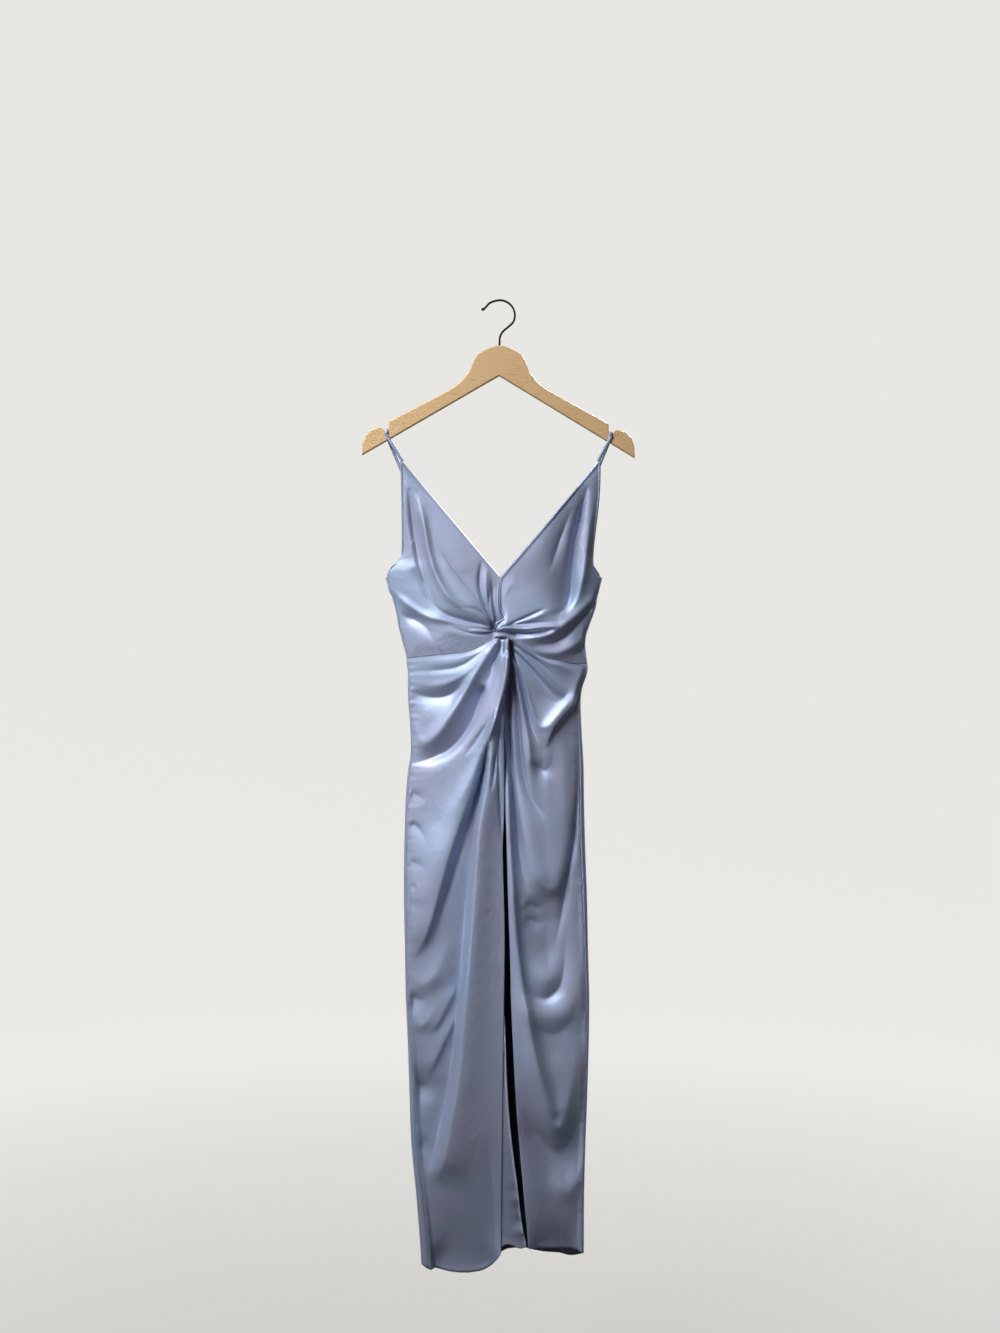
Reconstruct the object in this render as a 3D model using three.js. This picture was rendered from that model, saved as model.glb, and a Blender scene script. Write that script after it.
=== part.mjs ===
// Satin maxi dress with thin straps, a twisted front and a slit, hung by its straps on a wooden hanger.
// Millimetres, +Z up. The origin is where the hook rests, and the front of the dress faces -Y.
// Places on the cloth are x, z pairs seen from the front, and depth is how far a place stands forward.

import * as THREE from "three";

// Cloth
const WALL = 1.5;
const SEAM_GAP = 0.3;
const CURVED_SEAM_GAP = 0.5;
const LEAST_FACING = 0.5;
const SIDE_DEPTH = 4;
const BACK_DEPTH = -20;
const SATIN = { color: 0x93a3c4, roughness: 0.35, metalness: 0 };

// Heights of the main levels
const STRAP_POINT_Z = -262;
const UNDERARM_Z = -450;
const SLIT_TOP_Z = -549.5;

// How far the middle of the front stands forward, down the dress
const MIDDLE_DEPTH = [
  { z: -450, depth: 22 },
  { z: -535, depth: 25 },
  { z: -620, depth: 25 },
  { z: -760, depth: 23 },
  { z: -1100, depth: 20 },
  { z: -1590, depth: 18 },
];

// Outline from the front, down from the underarms
const OUTLINE = [
  { z: -450, left: -187, right: 167.5 },
  { z: -458, left: -184.5, right: 165 },
  { z: -471, left: -181.5, right: 162 },
  { z: -483, left: -176, right: 159 },
  { z: -496, left: -172, right: 157 },
  { z: -512, left: -168.5, right: 152 },
  { z: -528, left: -166, right: 146 },
  { z: -544, left: -162, right: 141 },
  { z: -560, left: -158, right: 139.5 },
  { z: -576, left: -153.5, right: 141 },
  { z: -590, left: -152.5, right: 143 },
  { z: -600, left: -151, right: 143.5 },
  { z: -612, left: -150.5, right: 140.5 },
  { z: -630, left: -150.5, right: 134.5 },
  { z: -650, left: -150, right: 132 },
  { z: -698, left: -146.5, right: 133.5 },
  { z: -739, left: -146, right: 136 },
  { z: -763, left: -150, right: 137 },
  { z: -811, left: -154, right: 137.5 },
  { z: -892, left: -156.5, right: 139.5 },
  { z: -973, left: -157, right: 142.5 },
  { z: -1054, left: -155.5, right: 144 },
  { z: -1135, left: -154, right: 146 },
  { z: -1216, left: -150.5, right: 145 },
  { z: -1297, left: -148, right: 142.5 },
  { z: -1378, left: -145, right: 139.5 },
  { z: -1459, left: -137.5, right: 137.5 },
  { z: -1540, left: -131, right: 137 },
  { z: -1590, left: -128, right: 136 },
];

// How far the side seams lie inside that outline, because the back wraps round
const SEAM_INSET = [
  { z: -450, left: 3, right: 3 },
  { z: -620, left: 3, right: 3.5 },
  { z: -700, left: 3, right: 6 },
  { z: -800, left: 4.5, right: 8 },
  { z: -973, left: 5, right: 8 },
  { z: -1135, left: 5, right: 6 },
  { z: -1300, left: 9, right: 4 },
  { z: -1590, left: 15, right: 3.5 },
];

// Waist seams from the twist out to each side, and the slit edges and hems
const LEFT_WAIST = [
  { x: -150, z: -581.5 },
  { x: -113, z: -577.5 },
  { x: -73, z: -573.5 },
  { x: -48, z: -569 },
  { x: -30, z: -561 },
  { x: -16, z: -553.5 },
  { x: -6, z: -550.8 },
  { x: 15, z: -552 },
];
const RIGHT_WAIST = [
  { x: -11, z: -546.5 },
  { x: 0, z: -547.5 },
  { x: 12, z: -549 },
  { x: 32, z: -560 },
  { x: 49, z: -570 },
  { x: 73, z: -581 },
  { x: 97, z: -585 },
  { x: 113, z: -589.5 },
  { x: 142, z: -592 },
];
const LEFT_SLIT_EDGE = [
  { z: -549, x: 14.5 },
  { z: -604, x: 14.5 },
  { z: -640, x: 9 },
  { z: -700, x: 7 },
  { z: -811, x: 7 },
  { z: -892, x: 4.5 },
  { z: -1022, x: 7.5 },
  { z: -1135, x: 6.5 },
  { z: -1378, x: 3 },
  { z: -1590, x: 1 },
];
const RIGHT_SLIT_EDGE = [
  { z: -549, x: 8 },
  { z: -620, x: 8.5 },
  { z: -650, x: 10 },
  { z: -811, x: 8.5 },
  { z: -892, x: 11 },
  { z: -973, x: 13 },
  { z: -1054, x: 16 },
  { z: -1135, x: 18 },
  { z: -1216, x: 21.5 },
  { z: -1297, x: 26 },
  { z: -1378, x: 32.5 },
  { z: -1459, x: 39.5 },
  { z: -1540, x: 47 },
];
const LEFT_HEM = [
  { x: -132, z: -1569 },
  { x: -113, z: -1576.5 },
  { x: -73, z: -1584.5 },
  { x: -32, z: -1581 },
  { x: -13, z: -1570 },
  { x: 0, z: -1550 },
  { x: 5, z: -1534 },
];
const RIGHT_HEM = [
  { x: 40, z: -1534 },
  { x: 73, z: -1539 },
  { x: 113, z: -1544 },
  { x: 138, z: -1550 },
];
const BACK_HEM = [
  { x: -132, z: -1567 },
  { x: -60, z: -1572 },
  { x: 0, z: -1559 },
  { x: 15, z: -1551 },
  { x: 44, z: -1548 },
  { x: 73, z: -1555 },
  { x: 113, z: -1561.5 },
  { x: 138, z: -1558 },
];
const BACK_TOP_SAG = 7;

// Edges of the two cups, as x, z points: along the neck, down the centre into the twist, and round the
// armhole. The right cup is drawn over the centre, and the left one tucks under it.
const LEFT_CUP = {
  neck: [[-158.5, STRAP_POINT_Z], [-81, -353], [-0.2, UNDERARM_Z]],
  centre: [[-0.2, UNDERARM_Z], [-2, -488], [0, -506], [4.5, -515], [2, -521], [-4, -526]],
  armhole: [[-163, STRAP_POINT_Z], [-161, -292], [-160, -358], [-160.5, -413], [-165, -426], [-180, -438],
    [-184, UNDERARM_Z]],
  endX: -7,
  twist: -7,
};
const RIGHT_CUP = {
  neck: [[159, STRAP_POINT_Z], [81, -356], [0.2, UNDERARM_Z]],
  centre: [[0.2, UNDERARM_Z], [-1.5, -488], [1, -506], [5.5, -515.5], [0, -520], [-7, -524]],
  armhole: [[163.5, STRAP_POINT_Z], [163, -300], [160, -340], [156, -374], [152.5, -409], [152.5, -430],
    [157.5, -440], [164.5, UNDERARM_Z]],
  endX: -10.5,
  twist: 5,
};
const STRAP_POINT_DEPTH = 8.5;
const CUP_FULLNESS = 6;
const CUP_FALL = 2.2;
const TWIST = { x: -2, z: -537, spread: 17 };

// How far the slit edge of the right skirt is tucked back under the left one, and over what width
const TUCK = [
  { z: -549, deep: 13, wide: 26 },
  { z: -640, deep: 12, wide: 20 },
  { z: -700, deep: 6, wide: 12 },
  { z: -811, deep: 3, wide: 10 },
  { z: -1000, deep: 5, wide: 14 },
  { z: -1200, deep: 8, wide: 16 },
  { z: -1540, deep: 6, wide: 20 },
];

// Folds. Each row is one: its line as x, z points, its height (a furrow's is negative), its half width at
// the start and at the end, the share of that width to the left and right of the way it runs, and the
// parts of its length in which it rises and dies away.
const FOLD_STEPS = 20;
const LEAST_WIDTH = 0.75;
const LEFT_CUP_FOLDS = [
  { name: "strap roll", height: 6, wide: [7, 6], fade: [0.15, 0.3],
    path: [[-157, -285], [-149, -358], [-139, -415], [-120, -471], [-96, -505], [-52, -525]] },
  { name: "inner furrow", height: -4.5, wide: [5, 5], fade: [0.2, 0.3],
    path: [[-149, -293], [-141, -334], [-130, -390], [-118, -436], [-100, -471], [-78, -497]] },
  { name: "inner roll", height: 3.5, wide: [4, 3], fade: [0.2, 0.3],
    path: [[-134, -313], [-123, -366], [-112, -423], [-91, -471], [-63, -497], [-26, -515]] },
  { name: "fine crease", height: -1.2, wide: [2.5, 1.8], fade: [0.4, 0.2],
    path: [[-104, -390], [-81, -428], [-47, -471], [-15, -510]] },
  { name: "under furrow", height: -7, wide: [6, 4], fade: [0.3, 0.3],
    path: [[-141, -433], [-130, -463], [-115, -489], [-97, -507], [-71, -518]] },
  { name: "lower roll", height: 8, wide: [7, 4], sides: [1, 0.75], fade: [0.1, 0.3],
    path: [[-180, -470], [-160, -486], [-139, -502], [-117, -514], [-81, -522], [-26, -533]] },
  { name: "waist furrow", height: -9, wide: [7, 7], fade: [0.2, 0.15],
    path: [[-167, -510], [-144, -517], [-125, -528], [-110, -548], [-102, -569]] },
  { name: "waist puff", height: 6, wide: [9, 9], fade: [0.3, 0.2],
    path: [[-160, -530], [-146, -552], [-133, -572]] },
  { name: "belly", height: 3, wide: [7, 3], fade: [0.4, 0.2],
    path: [[-91, -533], [-65, -543], [-29, -543]] },
  { name: "gather one", height: -3.5, wide: [2.2, 2], fade: [0.4, 0.05],
    path: [[-78, -538], [-52, -543], [-15, -541]] },
  { name: "gather two", height: 2.5, wide: [2, 1.6], fade: [0.4, 0.05],
    path: [[-49, -535], [-32, -538], [-13, -538]] },
  { name: "gather three", height: -2.5, wide: [2, 1.6], fade: [0.4, 0.05],
    path: [[-45, -515], [-29, -523], [-15, -533]] },
  { name: "gather four", height: -3, wide: [2.6, 1.8], fade: [0.5, 0.05],
    path: [[-73, -504], [-45, -507], [-16, -527]] },
  { name: "seam furrow", height: -5, wide: [3, 2.2], sides: [1.2, 0.7], fade: [0.25, 0.05],
    path: [[-31, -424], [-36, -452], [-29, -484], [-10, -527]] },
  { name: "seam roll", height: 3.5, wide: [4, 2.4], fade: [0.3, 0.05],
    path: [[-21, -433], [-23, -468], [-8, -523]] },
  { name: "centre furrow", height: -4, wide: [2.4, 2], fade: [0.2, 0.05],
    path: [[-11, -450], [-8, -488], [-6, -527]] },
];
const RIGHT_CUP_FOLDS = [
  { name: "deep furrow", height: -9.5, wide: [4, 8], fade: [0.3, 0.35],
    path: [[144, -295], [133, -342], [123, -390], [117, -439], [115, -475], [105, -501], [78, -518]] },
  { name: "strap roll", height: 7, wide: [5, 5], fade: [0.2, 0.35],
    path: [[156, -309], [147, -358], [141, -407], [134, -452], [123, -488], [102, -512], [65, -525]] },
  { name: "inner roll", height: 4, wide: [6, 7], fade: [0.3, 0.4],
    path: [[134, -313], [118, -361], [109, -407], [100, -458]] },
  { name: "inner furrow", height: -3.5, wide: [5, 6], fade: [0.3, 0.4],
    path: [[118, -334], [100, -382], [89, -415], [76, -449]] },
  { name: "pinch roll", height: 4.5, wide: [2.6, 4], fade: [0.05, 0.15],
    path: [[10, -535], [41, -535], [73, -531], [97, -531]] },
  { name: "pinch furrow", height: -6.5, wide: [2.2, 2.6], sides: [0.6, 1.2], fade: [0.1, 0.25],
    path: [[21, -544], [49, -542], [73, -539], [97, -535]] },
  { name: "glint crease", height: -3, wide: [2, 2.4], fade: [0.1, 0.4],
    path: [[8, -527], [39, -514], [71, -496]] },
  { name: "glint roll", height: 4, wide: [3, 6], sides: [1, 0.8], fade: [0.1, 0.4],
    path: [[16, -530], [57, -515], [100, -497]] },
  { name: "side roll", height: 7, wide: [9, 5], fade: [0.2, 0.2],
    path: [[164, -463], [143, -494], [110, -523], [70, -546], [23, -548]] },
  { name: "side furrow", height: -6.5, wide: [6, 4], fade: [0.15, 0.4],
    path: [[157, -492], [138, -510], [117, -536], [91, -556], [55, -561]] },
  { name: "waist puff", height: 6, wide: [8, 5], fade: [0.2, 0.3],
    path: [[149, -520], [131, -552], [91, -573], [52, -565]] },
  { name: "waist dent", height: -3, wide: [6, 5], fade: [0.2, 0.4],
    path: [[149, -552], [134, -569], [113, -578]] },
  { name: "centre crease", height: -2.5, wide: [2, 2], fade: [0.3, 0.1],
    path: [[0, -455], [2, -488], [5, -517]] },
  { name: "dimple", height: 2, wide: [5, 3], fade: [0.4, 0.2],
    path: [[29, -452], [11, -471], [3, -494]] },
];
const LEFT_SKIRT_FOLDS = [
  { name: "waist roll", height: 5, wide: [4, 6], fade: [0.1, 0.3],
    path: [[-10, -552], [-40, -575], [-73, -588], [-113, -591], [-146, -590]] },
  { name: "fine furrow one", height: -3, wide: [2.4, 3], fade: [0.2, 0.15],
    path: [[-26, -569], [-57, -591], [-97, -601], [-144, -601]] },
  { name: "fine roll", height: 3, wide: [2.4, 3], fade: [0.2, 0.15],
    path: [[-29, -573], [-62, -601], [-100, -609], [-146, -609]] },
  { name: "fine furrow two", height: -3, wide: [2.6, 3], fade: [0.25, 0.15],
    path: [[-36, -586], [-68, -611], [-105, -617], [-147, -614]] },
  { name: "shelf roll", height: 6, wide: [4, 6], sides: [1, 0.8], fade: [0.1, 0.15],
    path: [[-16, -562], [-47, -598], [-79, -620], [-113, -627], [-149, -620]] },
  { name: "shelf furrow", height: -12, wide: [6, 7], fade: [0.3, 0.2],
    path: [[-52, -612], [-71, -635], [-97, -645], [-128, -642], [-147, -632]] },
  { name: "great roll", height: 10, wide: [9, 6], fade: [0.08, 0.15],
    path: [[-10, -561], [-34, -598], [-57, -637], [-78, -671], [-100, -703], [-123, -718], [-141, -692],
      [-149, -650]] },
  { name: "bowl", height: -5, wide: [10, 8], fade: [0.3, 0.3],
    path: [[-97, -653], [-117, -676], [-122, -695]] },
  { name: "gather pit", height: -7, wide: [3, 5], fade: [0.1, 0.2],
    path: [[0, -572], [-10, -591], [-19, -617], [-31, -645]] },
  { name: "great furrow", height: -13, wide: [4, 9], sides: [1, 0.9], fade: [0.12, 0.1],
    path: [[-23, -624], [-34, -653], [-49, -690], [-78, -727], [-113, -745], [-144, -753]] },
  { name: "second roll", height: 8, wide: [5, 9], sides: [0.8, 1], fade: [0.1, 0.2],
    path: [[6, -562], [-2, -609], [-16, -650], [-36, -693], [-65, -734], [-100, -758], [-143, -763]] },
  { name: "thin furrow", height: -3.5, wide: [2.4, 3.5], fade: [0.2, 0.4],
    path: [[5, -620], [-11, -669], [-36, -711], [-60, -742]] },
  { name: "edge roll", height: 6, wide: [4, 16], sides: [1, 0.7], fade: [0.05, 0.5],
    path: [[11, -577], [6, -620], [-10, -674], [-29, -731], [-52, -787], [-87, -841], [-121, -880]] },
  { name: "drape edge", height: 12, wide: [12, 34], sides: [0.1, 1], fade: [0.03, 0.12],
    path: [[14, -572], [12, -611], [-3, -663], [-23, -723], [-40, -782], [-62, -841], [-81, -896],
      [-96, -951], [-110, -1001], [-126, -1042], [-151, -1074]] },
  { name: "drape shadow", height: -6, wide: [3, 9], sides: [1, 0.3], fade: [0.15, 0.3],
    path: [[-21, -734], [-36, -795], [-57, -868], [-76, -930], [-92, -978], [-110, -1022]] },
  { name: "mid drape roll", height: 4, wide: [18, 16], fade: [0.3, 0.3],
    path: [[-97, -844], [-113, -909], [-128, -957], [-144, -982]] },
  { name: "band roll", height: 8, wide: [4, 7], sides: [3, 0.8], fade: [0.06, 0.2],
    path: [[-2, -642], [-13, -706], [-24, -779], [-32, -844], [-39, -925], [-47, -1014], [-55, -1095],
      [-63, -1176], [-71, -1249], [-83, -1317], [-96, -1379], [-112, -1440]] },
  { name: "slit furrow", height: -5, wide: [2.2, 2.2], fade: [0.2, 0.3],
    path: [[0, -669], [-2, -747], [0, -812], [4, -880]] },
  { name: "blade furrow", height: -4, wide: [2, 2.4], fade: [0.3, 0.3],
    path: [[-5, -718], [-10, -770], [-15, -799]] },
  { name: "lower furrow", height: -4, wide: [8, 12], sides: [1, 0.8], fade: [0.3, 0.3],
    path: [[-55, -982], [-65, -1071], [-73, -1152], [-83, -1233], [-96, -1298]] },
  { name: "lower shelf", height: 5, wide: [11, 14], fade: [0.2, 0.4],
    path: [[-149, -1095], [-121, -1110], [-96, -1081], [-78, -1022]] },
  { name: "diagonal one", height: -4.5, wide: [3.5, 4], sides: [0.7, 1.2], fade: [0.25, 0.3],
    path: [[-73, -1116], [-86, -1144], [-102, -1171], [-112, -1187]] },
  { name: "diagonal two", height: -5.5, wide: [3.5, 4], sides: [0.7, 1.2], fade: [0.25, 0.3],
    path: [[-76, -1166], [-92, -1200], [-107, -1233], [-118, -1259]] },
  { name: "cross roll", height: 3.5, wide: [6, 5], fade: [0.2, 0.4],
    path: [[-146, -1149], [-128, -1178], [-107, -1152], [-91, -1119]] },
  { name: "hem bell", height: -3, wide: [14, 14], fade: [0.4, 0.1],
    path: [[-23, -1346], [-13, -1443], [-5, -1640]] },
  { name: "tuck one", height: -2.6, wide: [3, 3], fade: [0.15, 0.5],
    path: [[-146, -799], [-133, -805], [-118, -815]] },
  { name: "tuck two", height: -2.6, wide: [3, 4], fade: [0.15, 0.5],
    path: [[-146, -849], [-131, -859], [-118, -880]] },
  { name: "tuck three", height: -2.2, wide: [3, 3], fade: [0.15, 0.5],
    path: [[-147, -912], [-133, -915], [-117, -925]] },
  { name: "tuck four", height: -2, wide: [3, 3], fade: [0.15, 0.5],
    path: [[-147, -951], [-133, -953]] },
  { name: "tuck five", height: -4, wide: [6, 5], fade: [0.15, 0.5],
    path: [[-149, -1131], [-134, -1137], [-115, -1140]] },
  { name: "tuck six", height: -4, wide: [5, 4], fade: [0.15, 0.5],
    path: [[-146, -1281], [-128, -1278], [-104, -1275]] },
  { name: "tuck seven", height: -3, wide: [5, 3], fade: [0.15, 0.5],
    path: [[-144, -1374], [-131, -1375], [-113, -1364]] },
];
const RIGHT_SKIRT_FOLDS = [
  { name: "slit roll", height: 8, wide: [4, 12], sides: [1, 0.55], fade: [0.15, 0.3],
    path: [[13, -650], [13, -747], [16, -844], [21, -941], [26, -1038], [36, -1119], [49, -1200],
      [62, -1278], [81, -1343]] },
  { name: "deep furrow", height: -9, wide: [3, 6], fade: [0.1, 0.3],
    path: [[13, -598], [15, -706], [21, -795], [28, -868], [36, -925], [49, -970]] },
  { name: "first swag", height: 7, wide: [4, 13], fade: [0.08, 0.2],
    path: [[18, -604], [21, -698], [28, -787], [41, -868], [60, -932], [84, -954], [105, -922],
      [118, -860], [125, -787], [126, -706]] },
  { name: "blue furrow", height: -7, wide: [3, 6], fade: [0.1, 0.2],
    path: [[18, -591], [28, -658], [34, -731], [44, -791], [62, -825], [79, -839]] },
  { name: "leaf roll", height: 5, wide: [3, 8], fade: [0.1, 0.4],
    path: [[21, -585], [34, -650], [45, -706], [50, -755], [58, -795]] },
  { name: "gather one", height: -5.5, wide: [2.4, 4], fade: [0.1, 0.3],
    path: [[18, -572], [34, -614], [44, -658], [53, -695], [65, -723]] },
  { name: "hip roll", height: 7, wide: [3, 6], fade: [0.1, 0.15],
    path: [[21, -569], [37, -617], [49, -659], [62, -689], [78, -690], [99, -667], [120, -643],
      [136, -614]] },
  { name: "gather two", height: -4, wide: [2.2, 4], fade: [0.08, 0.4],
    path: [[19, -564], [49, -598], [78, -632], [97, -653]] },
  { name: "fine roll one", height: 4, wide: [2.2, 4], fade: [0.08, 0.3],
    path: [[21, -561], [50, -590], [84, -624], [110, -650]] },
  { name: "gather three", height: -4, wide: [2.2, 4.5], fade: [0.08, 0.4],
    path: [[23, -557], [53, -580], [79, -603], [102, -630]] },
  { name: "fine roll two", height: 4, wide: [2.5, 7], fade: [0.08, 0.3],
    path: [[24, -554], [57, -572], [91, -591], [130, -611]] },
  { name: "hip furrow", height: -4, wide: [8, 8], fade: [0.3, 0.3],
    path: [[49, -617], [73, -645], [97, -650], [117, -627]] },
  { name: "hip edge", height: 13, wide: [16, 12], sides: [0.09, 1], fade: [0.1, 0.15],
    path: [[144, -598], [136, -624], [122, -651], [100, -677], [83, -695], [75, -718], [66, -737],
      [49, -748]] },
  { name: "pocket", height: -9, wide: [4, 6], fade: [0.15, 0.3],
    path: [[50, -750], [66, -758], [79, -753], [81, -727]] },
  { name: "pocket lip", height: 3.5, wide: [5, 5], fade: [0.2, 0.3],
    path: [[50, -763], [66, -773], [84, -771]] },
  { name: "side plateau", height: 3, wide: [15, 15], fade: [0.3, 0.4],
    path: [[102, -706], [107, -795], [102, -876]] },
  { name: "side crease", height: -7, wide: [3, 5], sides: [1.2, 0.7], fade: [0.2, 0.25],
    path: [[130, -771], [125, -844], [117, -897], [107, -954], [99, -1006], [86, -1063]] },
  { name: "ripple one", height: -3.5, wide: [4, 4], fade: [0.2, 0.4],
    path: [[39, -978], [57, -985], [75, -990]] },
  { name: "ripple two", height: -3, wide: [4, 4], fade: [0.2, 0.4],
    path: [[39, -1003], [57, -1009], [73, -1017]] },
  { name: "great hollow", height: -10, wide: [8, 9], fade: [0.2, 0.25],
    path: [[31, -957], [36, -1047], [49, -1111], [70, -1131], [87, -1111], [94, -1063], [97, -1014]] },
  { name: "second swag", height: 8, wide: [8, 10], fade: [0.2, 0.25],
    path: [[36, -1079], [49, -1136], [68, -1157], [86, -1160], [105, -1137], [115, -1090], [122, -1022],
      [131, -941]] },
  { name: "third hollow", height: -6, wide: [7, 8], fade: [0.25, 0.25],
    path: [[53, -1155], [73, -1194], [92, -1202], [112, -1175], [128, -1111], [138, -1047]] },
  { name: "third swag", height: 7, wide: [9, 9], fade: [0.2, 0.2],
    path: [[50, -1200], [66, -1273], [86, -1337], [102, -1306], [118, -1241], [138, -1160]] },
  { name: "fourth hollow", height: -6.5, wide: [9, 9], fade: [0.25, 0.2],
    path: [[42, -1273], [60, -1346], [84, -1382], [110, -1349], [128, -1290], [141, -1225]] },
  { name: "last swag", height: 6, wide: [8, 7], fade: [0.1, 0.35],
    path: [[138, -1375], [122, -1421], [105, -1450], [91, -1427]] },
  { name: "last hollow", height: -5, wide: [7, 7], fade: [0.1, 0.35],
    path: [[139, -1333], [125, -1375], [102, -1414], [84, -1408]] },
  { name: "hem bell", height: 2.5, wide: [18, 18], fade: [0.3, 0.1],
    path: [[81, -1460], [95, -1640]] },
];
const BACK_FOLDS = [
  { name: "left flute", height: 3, wide: [14, 18], fade: [0.2, 0.1],
    path: [[-95, -600], [-100, -900], [-92, -1250], [-80, -1680]] },
  { name: "left hollow", height: -3, wide: [12, 16], fade: [0.2, 0.1],
    path: [[-58, -620], [-55, -900], [-48, -1250], [-42, -1680]] },
  { name: "middle flute", height: 3, wide: [12, 20], fade: [0.2, 0.1],
    path: [[-12, -600], [-8, -950], [4, -1300], [6, -1680]] },
  { name: "right hollow", height: -3, wide: [12, 16], fade: [0.2, 0.1],
    path: [[36, -620], [42, -950], [50, -1300], [54, -1680]] },
  { name: "right flute", height: 3, wide: [12, 16], fade: [0.2, 0.1],
    path: [[78, -600], [86, -900], [92, -1250], [96, -1680]] },
  { name: "left drape", height: -2.5, wide: [8, 12], fade: [0.2, 0.2],
    path: [[-128, -610], [-108, -680], [-70, -730], [-20, -745]] },
  { name: "right drape", height: -2.5, wide: [8, 12], fade: [0.2, 0.2],
    path: [[120, -610], [100, -690], [60, -740], [10, -755]] },
  { name: "bodice left pull", height: 2, wide: [7, 10], fade: [0.05, 0.4],
    path: [[-88, -450], [-92, -500], [-110, -560]] },
  { name: "bodice right pull", height: 2, wide: [7, 10], fade: [0.05, 0.4],
    path: [[86, -450], [90, -500], [106, -560]] },
  { name: "bodice slack", height: -2.5, wide: [12, 12], fade: [0.3, 0.3],
    path: [[-90, -500], [-30, -524], [30, -526], [88, -506]] },
];
// Folds lie flat along the seams and rise over this far. A cup's neck edge lets a part of them through.
const HELD_AT_SEAM = 9;
const LOOSE_AT_NECK = 3;

// Grids of the walls. The cups' rows are shared out to the stretches of each edge.
const CUP_COLUMNS = 14;
const NECK_ROWS = 16;
const CENTRE_ROWS = 8;
const ARMHOLE_ROWS = 7;
const SIDE_ROWS = 6;
const WAIST_ROWS = 11;
const SKIRT_COLUMNS = 18;
const SKIRT_ROWS = 36;
const SKIRT_CROWDING = 1.4;
const BACK_COLUMNS = 9;
const HEM_BEND = 4;
const MEETING_ROUNDS = 8;
const SIDE_TURN_STEPS = 4;

// Slit facing, behind the slit edge of the left skirt
const FACING = { top: -1160, hem: -1538, hidden: 16, columns: 4, rows: 12, wall: 1, gap: 0.8 };
const FACING_EDGE = [
  { z: -1160, x: 7.5 },
  { z: -1216, x: 9.5 },
  { z: -1297, x: 13 },
  { z: -1378, x: 20.5 },
  { z: -1443, x: 29 },
  { z: -1508, x: 37 },
  { z: -1540, x: 43.5 },
];

// Straps
const STRAP = { wide: 4.8, thick: 1.6, backX: 87, rise: 4.5, straight: 9, corner: 3, bow: 0.5 };
const STRAP_SIDES = 8;
const STRAP_STEPS = 30;

// Hanger
const HANGER_TILT = THREE.MathUtils.degToRad(0.6);
const WOOD = { thick: 12, edge: 1.6, color: 0xd6ab73 };
const HOOK = { radius: 1.8, ball: 2.7, bend: 24.5, sides: 8, steps: 40, ballSteps: 6, color: 0x141416 };
const HOOK_STEM = [[0, -66], [0.6, -58], [5, -49.5], [14, -41.5]];
const HOOK_ROUND = [-25, 0, 25, 50, 75, 90, 108];
const HOOK_END = [[-16.5, -2.8], [-22, -8.5], [-26, -12.8], [-30.5, -13.6]];
const NECK_TOP_Z = -73;
const UNDERSIDE_Z = -121.5;
const NOTCH = { x: 182, z: -212.5, half: 3 };
// Half outline of the wood, from the top of the neck out along the shoulder to the tip
const SHOULDER = [
  [7, NECK_TOP_Z], [24, -80], [36, -87], [42, -97], [49, -115], [59, -128], [71, -139.5], [84, -147.5],
  [NOTCH.x - NOTCH.half, -198.5], [NOTCH.x - NOTCH.half, NOTCH.z], [NOTCH.x + NOTCH.half, NOTCH.z],
  [190, -208], [197, -208.3], [207, -212], [216, -221], [221, -234], [222, -253],
];

const { lerp, smoothstep, clamp } = THREE.MathUtils;

// Value named key at a place down or along a table, on a smooth curve through its rows.
function read(table, by, key, at) {
  const order = Math.sign(table[1][by] - table[0][by]);
  let i = 0;
  while (i < table.length - 2 && (at - table[i + 1][by]) * order > 0) i += 1;
  const row = (n) => table[clamp(n, 0, table.length - 1)];
  const slope = (n) => {
    const rise = row(n + 1)[key] - row(n - 1)[key];
    return rise / (row(n + 1)[by] - row(n - 1)[by]);
  };
  const span = row(i + 1)[by] - row(i)[by];
  const t = clamp((at - row(i)[by]) / span, 0, 1);
  const [a, b] = [row(i)[key], row(i + 1)[key]];
  const hermite = (1 + 2 * t) * (1 - t) ** 2 * a + t * t * (3 - 2 * t) * b;
  return hermite + span * (t * (1 - t) ** 2 * slope(i) - t * t * (1 - t) * slope(i + 1));
}

const leftSide = (z) => read(OUTLINE, "z", "left", z);
const rightSide = (z) => read(OUTLINE, "z", "right", z);
const leftInset = (z) => read(SEAM_INSET, "z", "left", z);
const rightInset = (z) => read(SEAM_INSET, "z", "right", z);
const leftSeam = (z) => leftSide(z) + leftInset(z);
const rightSeam = (z) => rightSide(z) - rightInset(z);
const leftWaist = (x) => read(LEFT_WAIST, "x", "z", x);
const rightWaist = (x) => read(RIGHT_WAIST, "x", "z", x);

// Smooth front before its folds: level across the middle, and falling to the side seams.
function frontDepth(x, z) {
  const middle = (leftSeam(z) + rightSeam(z)) / 2;
  const half = (rightSeam(z) - leftSeam(z)) / 2;
  const out = Math.min(Math.abs(x - middle) / half, 1);
  return SIDE_DEPTH + (read(MIDDLE_DEPTH, "z", "depth", z) - SIDE_DEPTH) * (1 - out ** 3);
}

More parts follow.
